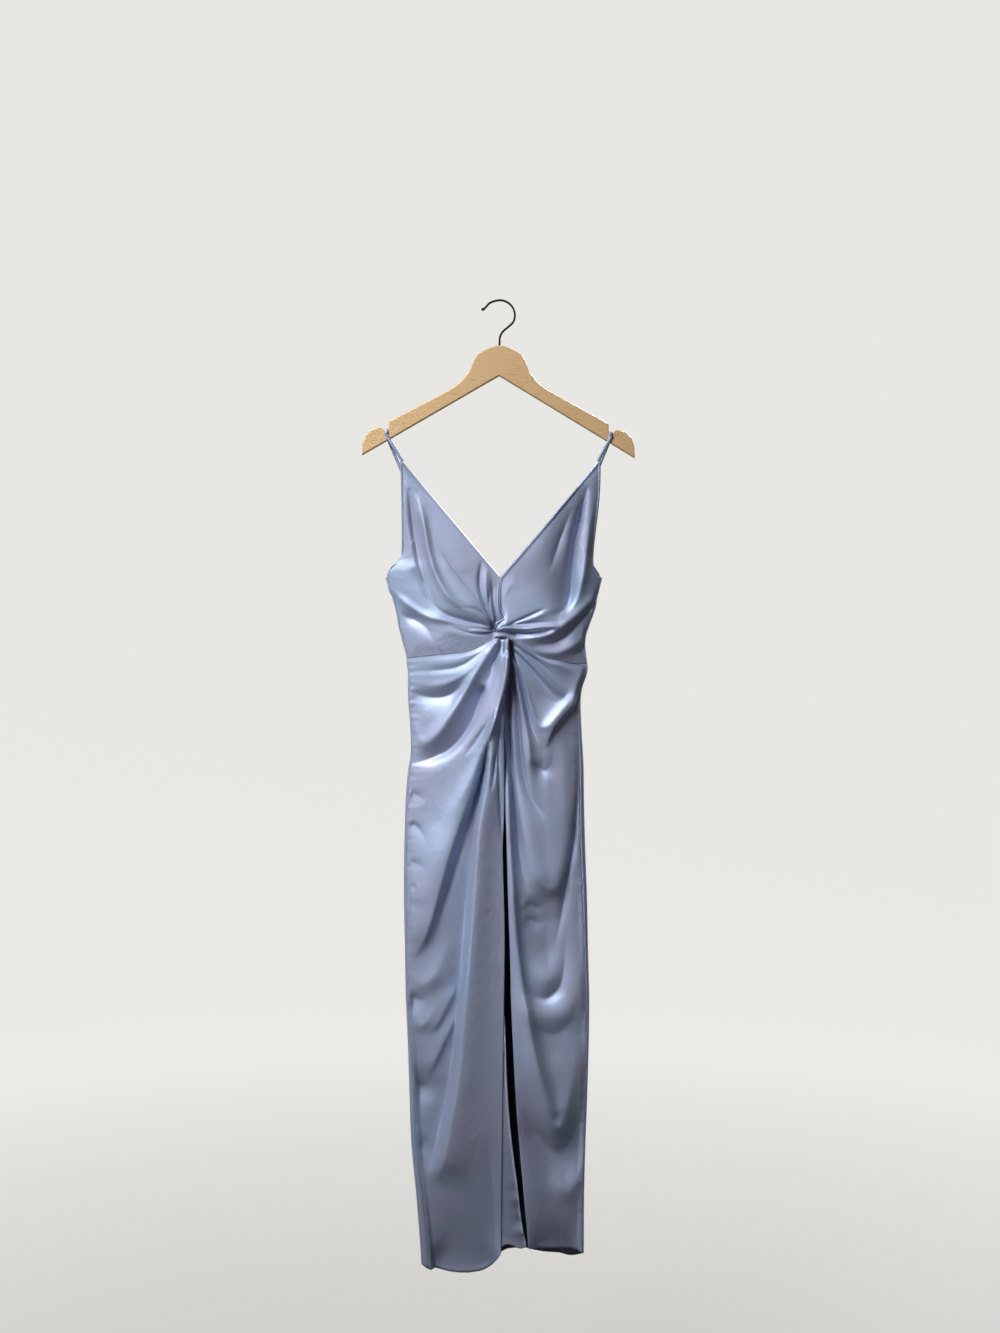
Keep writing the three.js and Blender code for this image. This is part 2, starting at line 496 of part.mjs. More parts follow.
// One fold: a smooth line, with a bell-shaped ridge or furrow along it.
class Fold {
  constructor({ path, height, wide, sides = [1, 1], fade }) {
    const line = new THREE.SplineCurve(path.map(([x, z]) => new THREE.Vector2(x, z)));
    this.points = line.getPoints(FOLD_STEPS);
    Object.assign(this, { height, wide, sides, fade });
  }

  // Height that the fold adds at x, z. One that is too narrow for the grid's step is made wider and lower.
  at(x, z, step) {
    let nearest = Infinity;
    let place = 0;
    let turn = 0;
    for (let i = 0; i < FOLD_STEPS; i += 1) {
      const start = this.points[i];
      const run = this.points[i + 1].clone().sub(start);
      const t = clamp(((x - start.x) * run.x + (z - start.y) * run.y) / run.lengthSq(), 0, 1);
      const away = Math.hypot(x - start.x - t * run.x, z - start.y - t * run.y);
      if (away < nearest) {
        nearest = away;
        place = (i + t) / FOLD_STEPS;
        turn = run.x * (z - start.y) - run.y * (x - start.x);
      }
    }
    const widths = this.sides.map((share) => share * lerp(this.wide[0], this.wide[1], place));
    const spread = widths.map((width) => Math.max(width, step * LEAST_WIDTH));
    const kept = Math.sqrt((widths[0] + widths[1]) / (spread[0] + spread[1]));
    const rise = smoothstep(place, 0, this.fade[0]) * smoothstep(1 - place, 0, this.fade[1]);
    return this.height * kept * rise * Math.exp(-((nearest / spread[turn > 0 ? 0 : 1]) ** 2));
  }
}

const sumOf = (folds) => (x, z, step) => folds.reduce((sum, fold) => sum + fold.at(x, z, step), 0);
const leftCupFolds = sumOf(LEFT_CUP_FOLDS.map((row) => new Fold(row)));
const rightCupFolds = sumOf(RIGHT_CUP_FOLDS.map((row) => new Fold(row)));
const leftSkirtFolds = sumOf(LEFT_SKIRT_FOLDS.map((row) => new Fold(row)));
const rightSkirtFolds = sumOf(RIGHT_SKIRT_FOLDS.map((row) => new Fold(row)));
const backFolds = sumOf(BACK_FOLDS.map((row) => new Fold(row)));

// Share of a fold that a seam lets through, at a distance from the seam.
const freed = (distance) => smoothstep(distance, 0, HELD_AT_SEAM);

const point = (x, depth, z) => new THREE.Vector3(x, -depth, z);

// Grid of points, with rows of columns, from a function of the two shares.
function grid(rows, columns, place) {
  return Array.from({ length: rows + 1 }, (_, j) =>
    Array.from({ length: columns + 1 }, (_, i) => place(i / columns, j / rows)));
}

// The same grid moved straight back by the cloth's thickness, and further where the cloth is steep.
function movedBack(outer, thickness) {
  const rows = outer.length - 1;
  const columns = outer[0].length - 1;
  return outer.map((row, j) => row.map((here, i) => {
    const across = row[Math.min(i + 1, columns)].clone().sub(row[Math.max(i - 1, 0)]);
    const down = outer[Math.min(j + 1, rows)][i].clone().sub(outer[Math.max(j - 1, 0)][i]);
    const facing = Math.abs(across.cross(down).normalize().y);
    const back = thickness / Math.max(facing, LEAST_FACING);
    return here.clone().add(new THREE.Vector3(0, back, 0));
  }));
}

// Six times the volume that the triangles enclose, which is negative where they face in.
function signedVolume(points, triangles) {
  let sum = 0;
  for (let n = 0; n < triangles.length; n += 3) {
    const [a, b, c] = [0, 1, 2].map((k) => points[triangles[n + k]]);
    sum += a.dot(b.clone().cross(c));
  }
  return sum;
}

// Mesh of the triangles, all turned to face out.
function solid(name, points, triangles, finish) {
  if (signedVolume(points, triangles) < 0) triangles.reverse();
  const shape = new THREE.BufferGeometry().setFromPoints(points);
  shape.setIndex(triangles);
  shape.computeVertexNormals();
  const mesh = new THREE.Mesh(shape, new THREE.MeshStandardMaterial(finish));
  mesh.name = name;
  return mesh;
}

// Closed wall between two grids of the same size, with a rim round its four edges.
function wall(name, outer, inner) {
  const rows = outer.length;
  const columns = outer[0].length;
  const points = [...outer.flat(), ...inner.flat()];
  const triangles = [];
  const front = (j, i) => j * columns + i;
  const back = (j, i) => rows * columns + front(j, i);
  const quad = (a, b, c, d) => triangles.push(a, b, c, a, c, d);
  for (let j = 0; j + 1 < rows; j += 1) {
    for (let i = 0; i + 1 < columns; i += 1) {
      quad(front(j, i), front(j + 1, i), front(j + 1, i + 1), front(j, i + 1));
      quad(back(j, i), back(j, i + 1), back(j + 1, i + 1), back(j + 1, i));
    }
    quad(front(j, 0), back(j, 0), back(j + 1, 0), front(j + 1, 0));
    const end = columns - 1;
    quad(front(j, end), front(j + 1, end), back(j + 1, end), back(j, end));
  }
  for (let i = 0; i + 1 < columns; i += 1) {
    quad(front(0, i), front(0, i + 1), back(0, i + 1), back(0, i));
    const end = rows - 1;
    quad(front(end, i), back(end, i), back(end, i + 1), front(end, i + 1));
  }
  return solid(name, points, triangles, SATIN);
}

// Closed bar through rings of points, with a fan over each end.
function bar(name, rings, finish) {
  const sides = rings[0].length;
  const points = rings.flat();
  const triangles = [];
  for (let j = 0; j + 1 < rings.length; j += 1) {
    for (let i = 0; i < sides; i += 1) {
      const [a, b] = [j * sides + i, j * sides + (i + 1) % sides];
      triangles.push(a, b, b + sides, a, b + sides, a + sides);
    }
  }
  const last = (rings.length - 1) * sides;
  for (let i = 1; i + 1 < sides; i += 1) {
    triangles.push(0, i + 1, i, last, last + i, last + i + 1);
  }
  return solid(name, points, triangles, finish);
}

// Elliptical rings along a curve at the given shares of it, wide in one direction and thick across it.
function ringsAlong(curve, shares, sides, wideWay, halfSizes) {
  return shares.map((share, n) => {
    const centre = curve.getPoint(share);
    const along = curve.getTangent(share);
    const wide = wideWay.clone().addScaledVector(along, -wideWay.dot(along)).normalize();
    const thick = along.clone().cross(wide);
    const [halfWide, halfThick] = halfSizes(n);
    return Array.from({ length: sides }, (_, k) => {
      const angle = (2 * Math.PI * (k + 0.5)) / sides;
      return centre.clone()
        .addScaledVector(wide, halfWide * Math.cos(angle))
        .addScaledVector(thick, halfThick * Math.sin(angle));
    });
  });
}

const smoothLine = (path) => new THREE.SplineCurve(path.map(([x, z]) => new THREE.Vector2(x, z)));

// Place on an edge made of stretches, each with its own number of the grid's rows.
function edge(...stretches) {
  return (row) => {
    let n = 0;
    let rest = row;
    while (n < stretches.length - 1 && rest > stretches[n].rows) {
      rest -= stretches[n].rows;
      n += 1;
    }
    return stretches[n].at(rest / stretches[n].rows);
  };
}

// Height at which a line down the cloth, given by its x at each height, meets an edge.
function meeting(lineX, edgeZ) {
  let z = SLIT_TOP_Z;
  for (let n = 0; n < MEETING_ROUNDS; n += 1) z = edgeZ(lineX(z));
  return z;
}

// Surface of a cup, drawn between its neck and centre edge and its armhole, side and waist edge. It narrows
// to the strap point above and to the twist below.
function cupSurface({ neck, centre, armhole, endX, twist }, seam, waist, folds) {
  const rows = NECK_ROWS + CENTRE_ROWS;
  const [neckLine, centreLine, armLine] = [neck, centre, armhole].map(smoothLine);
  const footZ = meeting(seam, waist);
  const inner = edge(
    { rows: NECK_ROWS, at: (t) => neckLine.getPointAt(t) },
    { rows: CENTRE_ROWS, at: (t) => centreLine.getPointAt(t) },
  );
  const outer = edge(
    { rows: ARMHOLE_ROWS, at: (t) => armLine.getPointAt(t) },
    {
      rows: SIDE_ROWS,
      at: (t) => new THREE.Vector2(seam(lerp(UNDERARM_Z, footZ, t)), lerp(UNDERARM_Z, footZ, t)),
    },
    {
      rows: WAIST_ROWS,
      at: (t) => new THREE.Vector2(lerp(seam(footZ), endX, t), waist(lerp(seam(footZ), endX, t))),
    },
  );
  const edgeDepth = ({ x, y: z }, underarmDepth) => (z > UNDERARM_Z
    ? lerp(STRAP_POINT_DEPTH, underarmDepth, smoothstep(STRAP_POINT_Z - z, 0, STRAP_POINT_Z - UNDERARM_Z))
    : frontDepth(x, z));
  return grid(rows, CUP_COLUMNS, (u, v) => {
    const from = inner(v * rows);
    const to = outer(v * rows);
    const { x, y: z } = from.clone().lerp(to, u);
    const hung = lerp(edgeDepth(from, frontDepth(0, UNDERARM_Z)), edgeDepth(to, SIDE_DEPTH), u ** CUP_FALL);
    const full = CUP_FULLNESS * Math.sin(Math.PI * u) * Math.sin(Math.PI * v);
    const fromTwist = Math.hypot(x - TWIST.x, z - TWIST.z) / TWIST.spread;
    const lifted = twist * Math.exp(-(fromTwist ** 2));
    const width = from.distanceTo(to);
    const held = freed(width * (1 - u)) * freed(width * u + LOOSE_AT_NECK);
    return point(x, hung + full + lifted + held * folds(x, z, width / CUP_COLUMNS), z);
  });
}

// Surface of a front skirt, hung between its side seam and its slit edge, from its waist to its hem.
function skirtSurface(sideX, slitX, waist, hem, depth) {
  return grid(SKIRT_ROWS, SKIRT_COLUMNS, (u, v) => {
    const columnX = (z) => lerp(sideX(z), slitX(z), u);
    const top = meeting(columnX, (x) => waist(x) - CURVED_SEAM_GAP);
    const foot = meeting(columnX, hem);
    const z = lerp(top, foot, v ** SKIRT_CROWDING);
    return point(columnX(z), depth(columnX(z), z), z);
  });
}

const leftSlit = (z) => read(LEFT_SLIT_EDGE, "z", "x", z);
const rightSlit = (z) => read(RIGHT_SLIT_EDGE, "z", "x", z);
const leftHem = (x) => read(LEFT_HEM, "x", "z", x);
const rightHem = (x) => read(RIGHT_HEM, "x", "z", x);
const backHem = (x) => read(BACK_HEM, "x", "z", x);

function leftSkirtDepth(x, z) {
  const step = (leftSlit(z) - leftSeam(z)) / SKIRT_COLUMNS;
  const held = freed(leftWaist(x) - z) * freed(x - leftSeam(z));
  return frontDepth(x, z) + held * leftSkirtFolds(x, z, step);
}

function rightSkirtDepth(x, z) {
  const step = (rightSeam(z) - rightSlit(z)) / SKIRT_COLUMNS;
  const held = freed(rightWaist(x) - z) * freed(rightSeam(z) - x);
  const near = 1 - smoothstep(x - rightSlit(z), 0, read(TUCK, "z", "wide", z));
  return frontDepth(x, z) - read(TUCK, "z", "deep", z) * near + held * rightSkirtFolds(x, z, step);
}

// Places across the back as x, depth and share of the way, from the left seam, round the left side, flat
// across and round the right side to the right seam. The side turns are half ellipses, and the inside of
// the cloth has the same centres.
function backPlaces(leftZ, rightZ, thickness) {
  const middle = (SIDE_DEPTH + BACK_DEPTH) / 2;
  const deep = (SIDE_DEPTH - BACK_DEPTH) / 2 - thickness;
  const [leftX, rightX] = [leftSeam(leftZ) - SEAM_GAP, rightSeam(rightZ) + SEAM_GAP];
  const [leftWide, rightWide] = [leftInset(leftZ), rightInset(rightZ)].map((w) => w - SEAM_GAP - thickness);
  const turn = Array.from({ length: SIDE_TURN_STEPS + 1 }, (_, n) => Math.PI * (n / SIDE_TURN_STEPS - 0.5));
  const left = turn.map((a) => [leftX - leftWide * Math.cos(a), middle - deep * Math.sin(a), 0]);
  const right = turn.map((a) => [rightX + rightWide * Math.cos(a), middle + deep * Math.sin(a), 1]);
  const flat = Array.from({ length: BACK_COLUMNS - 1 }, (_, n) => {
    const share = (n + 1) / BACK_COLUMNS;
    return [lerp(leftX, rightX, share), middle - deep, share];
  });
  return [...left, ...flat, ...right];
}

// A back piece has a row at each pair of heights of its two side seams. Bend moves the heights between, by
// the column and by the share of the way down.
function back(name, leftHeights, rightHeights, bend) {
  const rows = leftHeights.length - 1;
  const layer = (thickness) => leftHeights.map((leftZ, j) => {
    const rightZ = rightHeights[j];
    const step = (rightSeam(rightZ) - leftSeam(leftZ)) / BACK_COLUMNS / 2;
    return backPlaces(leftZ, rightZ, thickness).map(([x, depth, share], i) => {
      const z = lerp(leftZ, rightZ, share) + bend(i, j / rows);
      const fromSide = Math.min(x - leftSeam(leftZ), rightSeam(rightZ) - x);
      return point(x, depth - freed(fromSide) * backFolds(x, z, step), z);
    });
  });
  return wall(name, layer(0), layer(WALL));
}

// Height of the back's top edge, which sags towards its middle.
function backTop(x) {
  const half = (rightSeam(UNDERARM_Z) - leftSeam(UNDERARM_Z)) / 2;
  return UNDERARM_Z - BACK_TOP_SAG * Math.max(0, 1 - (x / half) ** 2);
}

const heights = (surface, column, first, last) => surface.slice(first, last + 1).map((row) => row[column].z);

const leftCupFront = cupSurface(LEFT_CUP, leftSeam, leftWaist, leftCupFolds);
const rightCupFront = cupSurface(RIGHT_CUP, rightSeam, rightWaist, rightCupFolds);
const leftSkirtFront = skirtSurface(leftSeam, leftSlit, leftWaist, leftHem, leftSkirtDepth);
const rightSkirtFront = skirtSurface(rightSeam, rightSlit, rightWaist, rightHem, rightSkirtDepth);

// The back bodice is straight across the top and sags a little in the middle.
function backBodice() {
  const [first, last] = [ARMHOLE_ROWS, ARMHOLE_ROWS + SIDE_ROWS];
  const sags = backPlaces(UNDERARM_Z, UNDERARM_Z, 0).map(([x]) => backTop(x) - UNDERARM_Z);
  return back("back_bodice", heights(leftCupFront, CUP_COLUMNS, first, last),
    heights(rightCupFront, CUP_COLUMNS, first, last), (column, down) => sags[column] * (1 - down));
}

// The back skirt ends level with the front hems at its side seams, and at its own hem behind.
function backSkirt() {
  const left = heights(leftSkirtFront, 0, 0, SKIRT_ROWS);
  const right = heights(rightSkirtFront, 0, 0, SKIRT_ROWS);
  const toHem = backPlaces(left.at(-1), right.at(-1), 0).map(([x, depth, share]) => {
    const behind = (SIDE_DEPTH - depth) / (SIDE_DEPTH - BACK_DEPTH);
    const frontHem = x < 0 ? leftHem(x) : rightHem(x);
    return lerp(frontHem, backHem(x), behind) - lerp(left.at(-1), right.at(-1), share);
  });
  return back("back_skirt", left, right, (column, down) => toHem[column] * down ** HEM_BEND);
}

// The facing lies behind the slit edge of the left skirt and shows past it.
function slitFacing() {
  const surface = grid(FACING.rows, FACING.columns, (u, v) => {
    const z = lerp(FACING.top, FACING.hem, v);
    const x = lerp(leftSlit(z) - FACING.hidden, read(FACING_EDGE, "z", "x", z), u);
    const behind = leftSkirtDepth(Math.min(x, leftSlit(z)), z) - WALL - FACING.gap;
    return point(x, behind, z);
  });
  return wall("slit_facing", surface, movedBack(surface, FACING.wall));
}

// Place on the hanger, after its tilt about the hook's seat.
function tilted(x, z) {
  const [cos, sin] = [Math.cos(HANGER_TILT), Math.sin(HANGER_TILT)];
  return [x * cos + z * sin, z * cos - x * sin];
}

// A strap runs from the cup up over the hanger's notch and down behind to the top of the back.
function strap(name, side, { neck, armhole }) {
  const [notchX, notchZ] = tilted(side * NOTCH.x, NOTCH.z);
  const clear = SEAM_GAP + STRAP.thick / 2;
  const leg = WOOD.thick / 2 + clear;
  const over = notchZ + clear;
  const legFoot = notchZ - STRAP.straight;
  const frontX = (neck[0][0] + armhole[0][0]) / 2;
  const frontFoot = STRAP_POINT_Z + SEAM_GAP;
  const backX = side * STRAP.backX;
  const backFoot = backTop(backX) + SEAM_GAP;
  const [frontAt, backAt] = [STRAP_POINT_DEPTH - WALL / 2, BACK_DEPTH + WALL / 2];
  const behind = (share) => point(
    lerp(notchX, backX, share), lerp(-leg, backAt, share), lerp(legFoot, backFoot + STRAP.rise, share));
  const curve = new THREE.CatmullRomCurve3([
    point(frontX, frontAt, frontFoot),
    point(frontX, frontAt, frontFoot + STRAP.rise),
    point((frontX + notchX) / 2, leg + STRAP.bow, (frontFoot + STRAP.rise + legFoot) / 2),
    point(notchX, leg, legFoot),
    point(notchX, leg, notchZ - STRAP.corner),
    point(notchX, leg - STRAP.corner / 3, over - STRAP.corner / 4),
    point(notchX, leg - STRAP.corner, over),
    point(notchX, 0, over),
    point(notchX, STRAP.corner - leg, over),
    point(notchX, STRAP.corner / 3 - leg, over - STRAP.corner / 4),
    point(notchX, -leg, notchZ - STRAP.corner),
    behind(0),
    behind(1 / 3),
    behind(2 / 3),
    behind(1),
    point(backX, backAt, backFoot),
  ]);
  const shares = Array.from({ length: STRAP_STEPS + 1 }, (_, n) => n / STRAP_STEPS);
  const across = new THREE.Vector3(1, 0, 0);
  const rings = ringsAlong(curve, shares, STRAP_SIDES, across, () => [STRAP.wide / 2, STRAP.thick / 2]);
  return bar(name, rings, SATIN);
}

// The wood is a flat bow with rounded edges, notched for straps near each tip.
function hangerWood() {
  const left = SHOULDER.toReversed().map(([x, z]) => [-x, z]);
  const outline = [...SHOULDER, [0, UNDERSIDE_Z], ...left].map(([x, z]) => new THREE.Vector2(x, z));
  const shape = new THREE.ExtrudeGeometry(new THREE.Shape(outline), {
    depth: WOOD.thick - 2 * WOOD.edge,
    bevelThickness: WOOD.edge,
    bevelSize: WOOD.edge,
    bevelOffset: -WOOD.edge,
    bevelSegments: 2,
  });
  shape.translate(0, 0, WOOD.edge - WOOD.thick / 2);
  shape.rotateX(Math.PI / 2);
  const mesh = new THREE.Mesh(shape, new THREE.MeshStandardMaterial({ color: WOOD.color, roughness: 0.5 }));
  mesh.name = "hanger_wood";
  return mesh;
}

// The hook is a wire that rises from the neck, swings round over the origin and ends in a small ball.
function hangerHook() {
  const centreZ = HOOK.radius - HOOK.bend;
  const round = HOOK_ROUND.map((degrees) => {
    const angle = THREE.MathUtils.degToRad(degrees);
    return point(HOOK.bend * Math.cos(angle), 0, centreZ + HOOK.bend * Math.sin(angle));
  });
  const inPlane = ([x, z]) => point(x, 0, z);
  const foot = point(0, 0, NECK_TOP_Z + SEAM_GAP);
  const points = [foot, ...HOOK_STEM.map(inPlane), ...round, ...HOOK_END.map(inPlane)];
  const curve = new THREE.CatmullRomCurve3(points);
  const ball = (2 * HOOK.ball) / points.at(-1).distanceTo(points.at(-2)) / (points.length - 1);
  const wireShares = Array.from({ length: HOOK.steps }, (_, n) => (1 - ball) * (n / HOOK.steps));
  const ballSpots = Array.from({ length: HOOK.ballSteps + 1 }, (_, n) => n / HOOK.ballSteps);
  const ballShares = ballSpots.map((spot) => lerp(1 - ball, 1, spot));
  const radius = (n) => {
    const share = (n - HOOK.steps) / HOOK.ballSteps;
    const bulge = HOOK.ball * Math.sqrt(Math.max(0, 1 - (2 * share - 1) ** 2));
    if (share <= 0) return HOOK.radius;
    return Math.max(bulge, share > 0.5 ? HOOK.radius / 3 : HOOK.radius);
  };
  const across = new THREE.Vector3(0, 1, 0);
  const shares = [...wireShares, ...ballShares];
  const rings = ringsAlong(curve, shares, HOOK.sides, across, (n) => [radius(n), radius(n)]);
  return bar("hanger_hook", rings, { color: HOOK.color, roughness: 0.45, metalness: 0.6 });
}

const hanger = new THREE.Group();
hanger.rotation.y = HANGER_TILT;
hanger.add(hangerWood(), hangerHook());

const group = new THREE.Group();
group.add(
  wall("front_bodice_left", leftCupFront, movedBack(leftCupFront, WALL)),
  wall("front_bodice_right", rightCupFront, movedBack(rightCupFront, WALL)),
  backBodice(),
  wall("front_skirt_left", leftSkirtFront, movedBack(leftSkirtFront, WALL)),
  wall("front_skirt_right", rightSkirtFront, movedBack(rightSkirtFront, WALL)),
  backSkirt(),
  slitFacing(),
  strap("strap_left", -1, LEFT_CUP),
  strap("strap_right", 1, RIGHT_CUP),
  hanger,
);

export default group;
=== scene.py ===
# Satin maxi dress with thin straps, a twisted front and a slit, hung by its straps on a wooden hanger.
# Metres, +Z up. The origin is where the hook rests, and the front of the dress faces -Y.
# Places on the cloth are x, z pairs seen from the front, and depth is how far a place stands forward.
import bpy
import numpy as np
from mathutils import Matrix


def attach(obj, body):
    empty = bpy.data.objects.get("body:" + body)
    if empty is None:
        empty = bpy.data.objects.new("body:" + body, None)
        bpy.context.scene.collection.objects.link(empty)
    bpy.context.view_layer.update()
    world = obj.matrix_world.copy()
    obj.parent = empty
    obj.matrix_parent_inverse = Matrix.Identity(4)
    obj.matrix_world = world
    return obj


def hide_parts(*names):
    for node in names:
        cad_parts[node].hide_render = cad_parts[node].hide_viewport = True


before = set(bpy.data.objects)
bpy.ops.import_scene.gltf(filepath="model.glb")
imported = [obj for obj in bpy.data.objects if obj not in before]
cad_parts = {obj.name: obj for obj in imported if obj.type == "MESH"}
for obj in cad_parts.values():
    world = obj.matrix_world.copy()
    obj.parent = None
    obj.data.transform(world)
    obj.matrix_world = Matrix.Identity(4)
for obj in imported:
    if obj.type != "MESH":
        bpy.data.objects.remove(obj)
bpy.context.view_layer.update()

# The camera looks straight at the dress from standing height, a little under its middle.
CAMERA_DISTANCE = 2.6
SCALE_PLANE_DEPTH = 0.015
SHOWN_HEIGHT = 2.1595
SHOWN_MIDDLE_Z = -0.595
SENSOR_HEIGHT = 36.0

view = bpy.data.cameras.new("camera")
view.sensor_fit = "VERTICAL"
view.sensor_width = SENSOR_HEIGHT
view.sensor_height = SENSOR_HEIGHT
view.lens = SENSOR_HEIGHT * (CAMERA_DISTANCE - SCALE_PLANE_DEPTH) / SHOWN_HEIGHT
view.clip_start = 0.1
view.clip_end = 60.0
camera = bpy.data.objects.new("camera", view)
camera.location = (0.0, -CAMERA_DISTANCE, SHOWN_MIDDLE_Z)
camera.rotation_euler = (np.pi / 2, 0.0, 0.0)
bpy.context.collection.objects.link(camera)
bpy.context.scene.camera = camera
bpy.context.scene.view_settings.view_transform = "Standard"

# The stage is one round bowl, a floor that turns up into a wall all round. It is seen as pale and alike from
# all sides, but gives most of its light from behind the dress, so that the lamps shape the cloth's front. As
# the camera sees it, the floor near the middle is painted darker than the wall, a painted shade towards the
# bottom of the view.
BOWL_RADIUS = 6.0
BOWL_TURN = 3.0
BOWL_FLOOR_Z = -1.95
BOWL_TOP_Z = 5.0
BOWL_COLOUR = (0.05, 0.05, 0.048, 1.0)
BOWL_GLOW = (1.0, 0.98, 0.945, 1.0)
GLOW_BEHIND = 0.30
GLOW_BEFORE = 0.02
GLOW_STARTS_Y = -0.4
GLOW_FULL_Y = 2.4
# What the camera sees of the bowl's glow: painted shade, darker on the floor near the middle than on the
# wall.
SEEN_IN_MIDDLE = 0.50
SEEN_ON_WALL = 0.80
SEEN_NEAR = 0.3
SEEN_FAR = 3.0


def shell(name, points, closed_round=False, flip=False):
    """Mesh of four-sided faces over a grid of points, rows x columns x 3, and joined round if asked."""
    rows, columns, _ = points.shape
    index = np.arange(rows * columns).reshape(rows, columns)
    if closed_round:
        index = np.concatenate((index, index[:, :1]), axis=1)
    faces = np.stack((index[:-1, :-1], index[1:, :-1], index[1:, 1:], index[:-1, 1:]), axis=-1)
    faces = faces.reshape(-1, 4)
    if flip:
        faces = faces[:, ::-1]
    mesh = bpy.data.meshes.new(name)
    mesh.from_pydata(points.reshape(-1, 3).tolist(), [], faces.tolist())
    mesh.shade_smooth()
    piece = bpy.data.objects.new(name, mesh)
    bpy.context.collection.objects.link(piece)
    return piece


def bowl(around, out):
    """Radius grows evenly over the flat floor, then follows a quarter circle up, then the wall is plumb."""
    flat = BOWL_RADIUS - BOWL_TURN
    turned = BOWL_TURN * np.pi / 2
    wall = BOWL_TOP_Z - BOWL_FLOOR_Z - BOWL_TURN
    way = out * (flat + turned + wall)
    angle = np.clip((way - flat) / BOWL_TURN, 0, np.pi / 2)
    radius = np.minimum(way, flat) + BOWL_TURN * np.sin(angle)
    z = BOWL_FLOOR_Z + BOWL_TURN * (1 - np.cos(angle)) + np.maximum(way - flat - turned, 0)
    turn = 2 * np.pi * around
    return np.stack((radius * np.cos(turn), radius * np.sin(turn), z), axis=-1)


def shares(rows, columns, lowest=0.0):
    """Two arrays, rows x columns, of the shares down and across a grid."""
    return np.meshgrid(np.linspace(lowest, 1, rows), np.linspace(0, 1, columns), indexing="ij")


down, across = shares(60, 97, lowest=0.00001)
stage = shell("stage", bowl(across, down))
paint = bpy.data.materials.new("bowl paint")
paint.use_nodes = True


def add_node(material, kind, inputs=(), **settings):
    """Adds a shader node, with its settings, and fills or links its inputs, given by name or by number."""
    tree = getattr(material, "node_tree", material)
    made = tree.nodes.new("ShaderNode" + kind)
    for key, value in settings.items():
        setattr(made, key, value)
    for key, value in dict(inputs).items():
        if isinstance(value, bpy.types.NodeSocket):
            tree.links.new(value, made.inputs[key])
        else:
            made.inputs[key].default_value = value
    return made


surface = paint.node_tree.nodes["Principled BSDF"]
surface.inputs["Base Color"].default_value = BOWL_COLOUR
surface.inputs["Roughness"].default_value = 0.9
surface.inputs["Emission Color"].default_value = BOWL_GLOW
place = add_node(paint, "SeparateXYZ", {0: add_node(paint, "TexCoord").outputs["Object"]})
given_off = add_node(paint, "MapRange", {
    "Value": place.outputs["Y"], "From Min": GLOW_STARTS_Y, "From Max": GLOW_FULL_Y,
    "To Min": GLOW_BEFORE, "To Max": GLOW_BEHIND}, interpolation_type="SMOOTHSTEP")
on_floor = add_node(paint, "VectorMath", {
    0: add_node(paint, "TexCoord").outputs["Object"], 1: (1.0, 1.0, 0.0)}, operation="MULTIPLY")
out_from_middle = add_node(paint, "VectorMath", {0: on_floor.outputs[0]}, operation="LENGTH")
# Painted shade: the camera sees the floor near the middle darker than the wall out round.
seen = add_node(paint, "MapRange", {
    "Value": out_from_middle.outputs["Value"], "From Min": SEEN_NEAR, "From Max": SEEN_FAR,
    "To Min": SEEN_IN_MIDDLE, "To Max": SEEN_ON_WALL})
glow = add_node(paint, "Mix", {
    "Factor": add_node(paint, "LightPath").outputs["Is Camera Ray"],
    "A": given_off.outputs["Result"], "B": seen.outputs["Result"]})
paint.node_tree.links.new(glow.outputs["Result"], surface.inputs["Emission Strength"])
stage.data.materials.append(paint)

# The lamps are soft panels: the main one high in front, weak ones in the middle and low in front and at the
# left, the low one warm, and a strong one high behind for the back.
NARROW_BEAM = np.radians(40)
LAMPS = [
    # name, place, what it points at, width, height, watts, colour
    ("high front", (-1.0, -1.0, 1.0), (0.0, 0.0, -0.75), 0.9, 0.45, 42.0, (1.0, 0.985, 0.97)),
    ("middle front", (-0.7, -1.3, 0.4), (0.0, 0.0, -1.0), 0.6, 0.4, 1.7, (1.0, 0.99, 0.98)),
    ("low front", (0.9, -2.3, -1.2), (0.0, 0.0, -1.0), 0.9, 1.4, 1.6, (1.0, 0.66, 0.74)),
    ("left side", (-2.0, -0.9, -0.9), (0.0, 0.0, -1.3), 0.8, 0.8, 5.0, (1.0, 1.0, 1.0)),
    ("high back", (1.0, 1.2, 0.9), (0.0, 0.0, -0.9), 0.9, 0.45, 85.0, (1.0, 0.98, 0.96)),
]
for name, spot, aim, width, height, watts, colour in LAMPS:
    lamp = bpy.data.lights.new(name, "AREA")
    lamp.shape = "RECTANGLE"
    lamp.size, lamp.size_y = width, height
    lamp.energy = watts
    lamp.color = colour
    lamp.spread = NARROW_BEAM if name == "middle front" else np.pi
    holder = bpy.data.objects.new(name, lamp)
    beam = np.subtract(aim, spot)
    holder.location = spot
    tilt = np.arccos(-beam[2] / np.linalg.norm(beam))
    holder.rotation_euler = (tilt, 0, np.arctan2(beam[1], beam[0]) - np.pi / 2)
    bpy.context.collection.objects.link(holder)

# Satin. The face of the cloth is a close weave of long bright threads down the piece, dusty blue and a
# little mauve across the grain. The reverse is dull, and it is painted far darker than the face: painted
# shade, so that the inside of the dress seen through the slit looks deep in shadow. Its pattern follows each
# piece's cut.
CLOTH = 0.0007
FACE_COLOUR = (0.335, 0.425, 0.60, 1.0)
FACE_MAUVE = (0.365, 0.395, 0.56, 1.0)
# Colour of the reverse: the dull wrong side, painted much darker than the face as painted shade for the
# dress's inside.
REVERSE_COLOUR_AND_SHADE = (0.085, 0.10, 0.175, 1.0)
THREADS_PER_METRE = 1700.0
FLOAT_STRETCH = 0.12
THREAD_HEIGHT = 0.00003
CREASE_HEIGHT = 0.0011


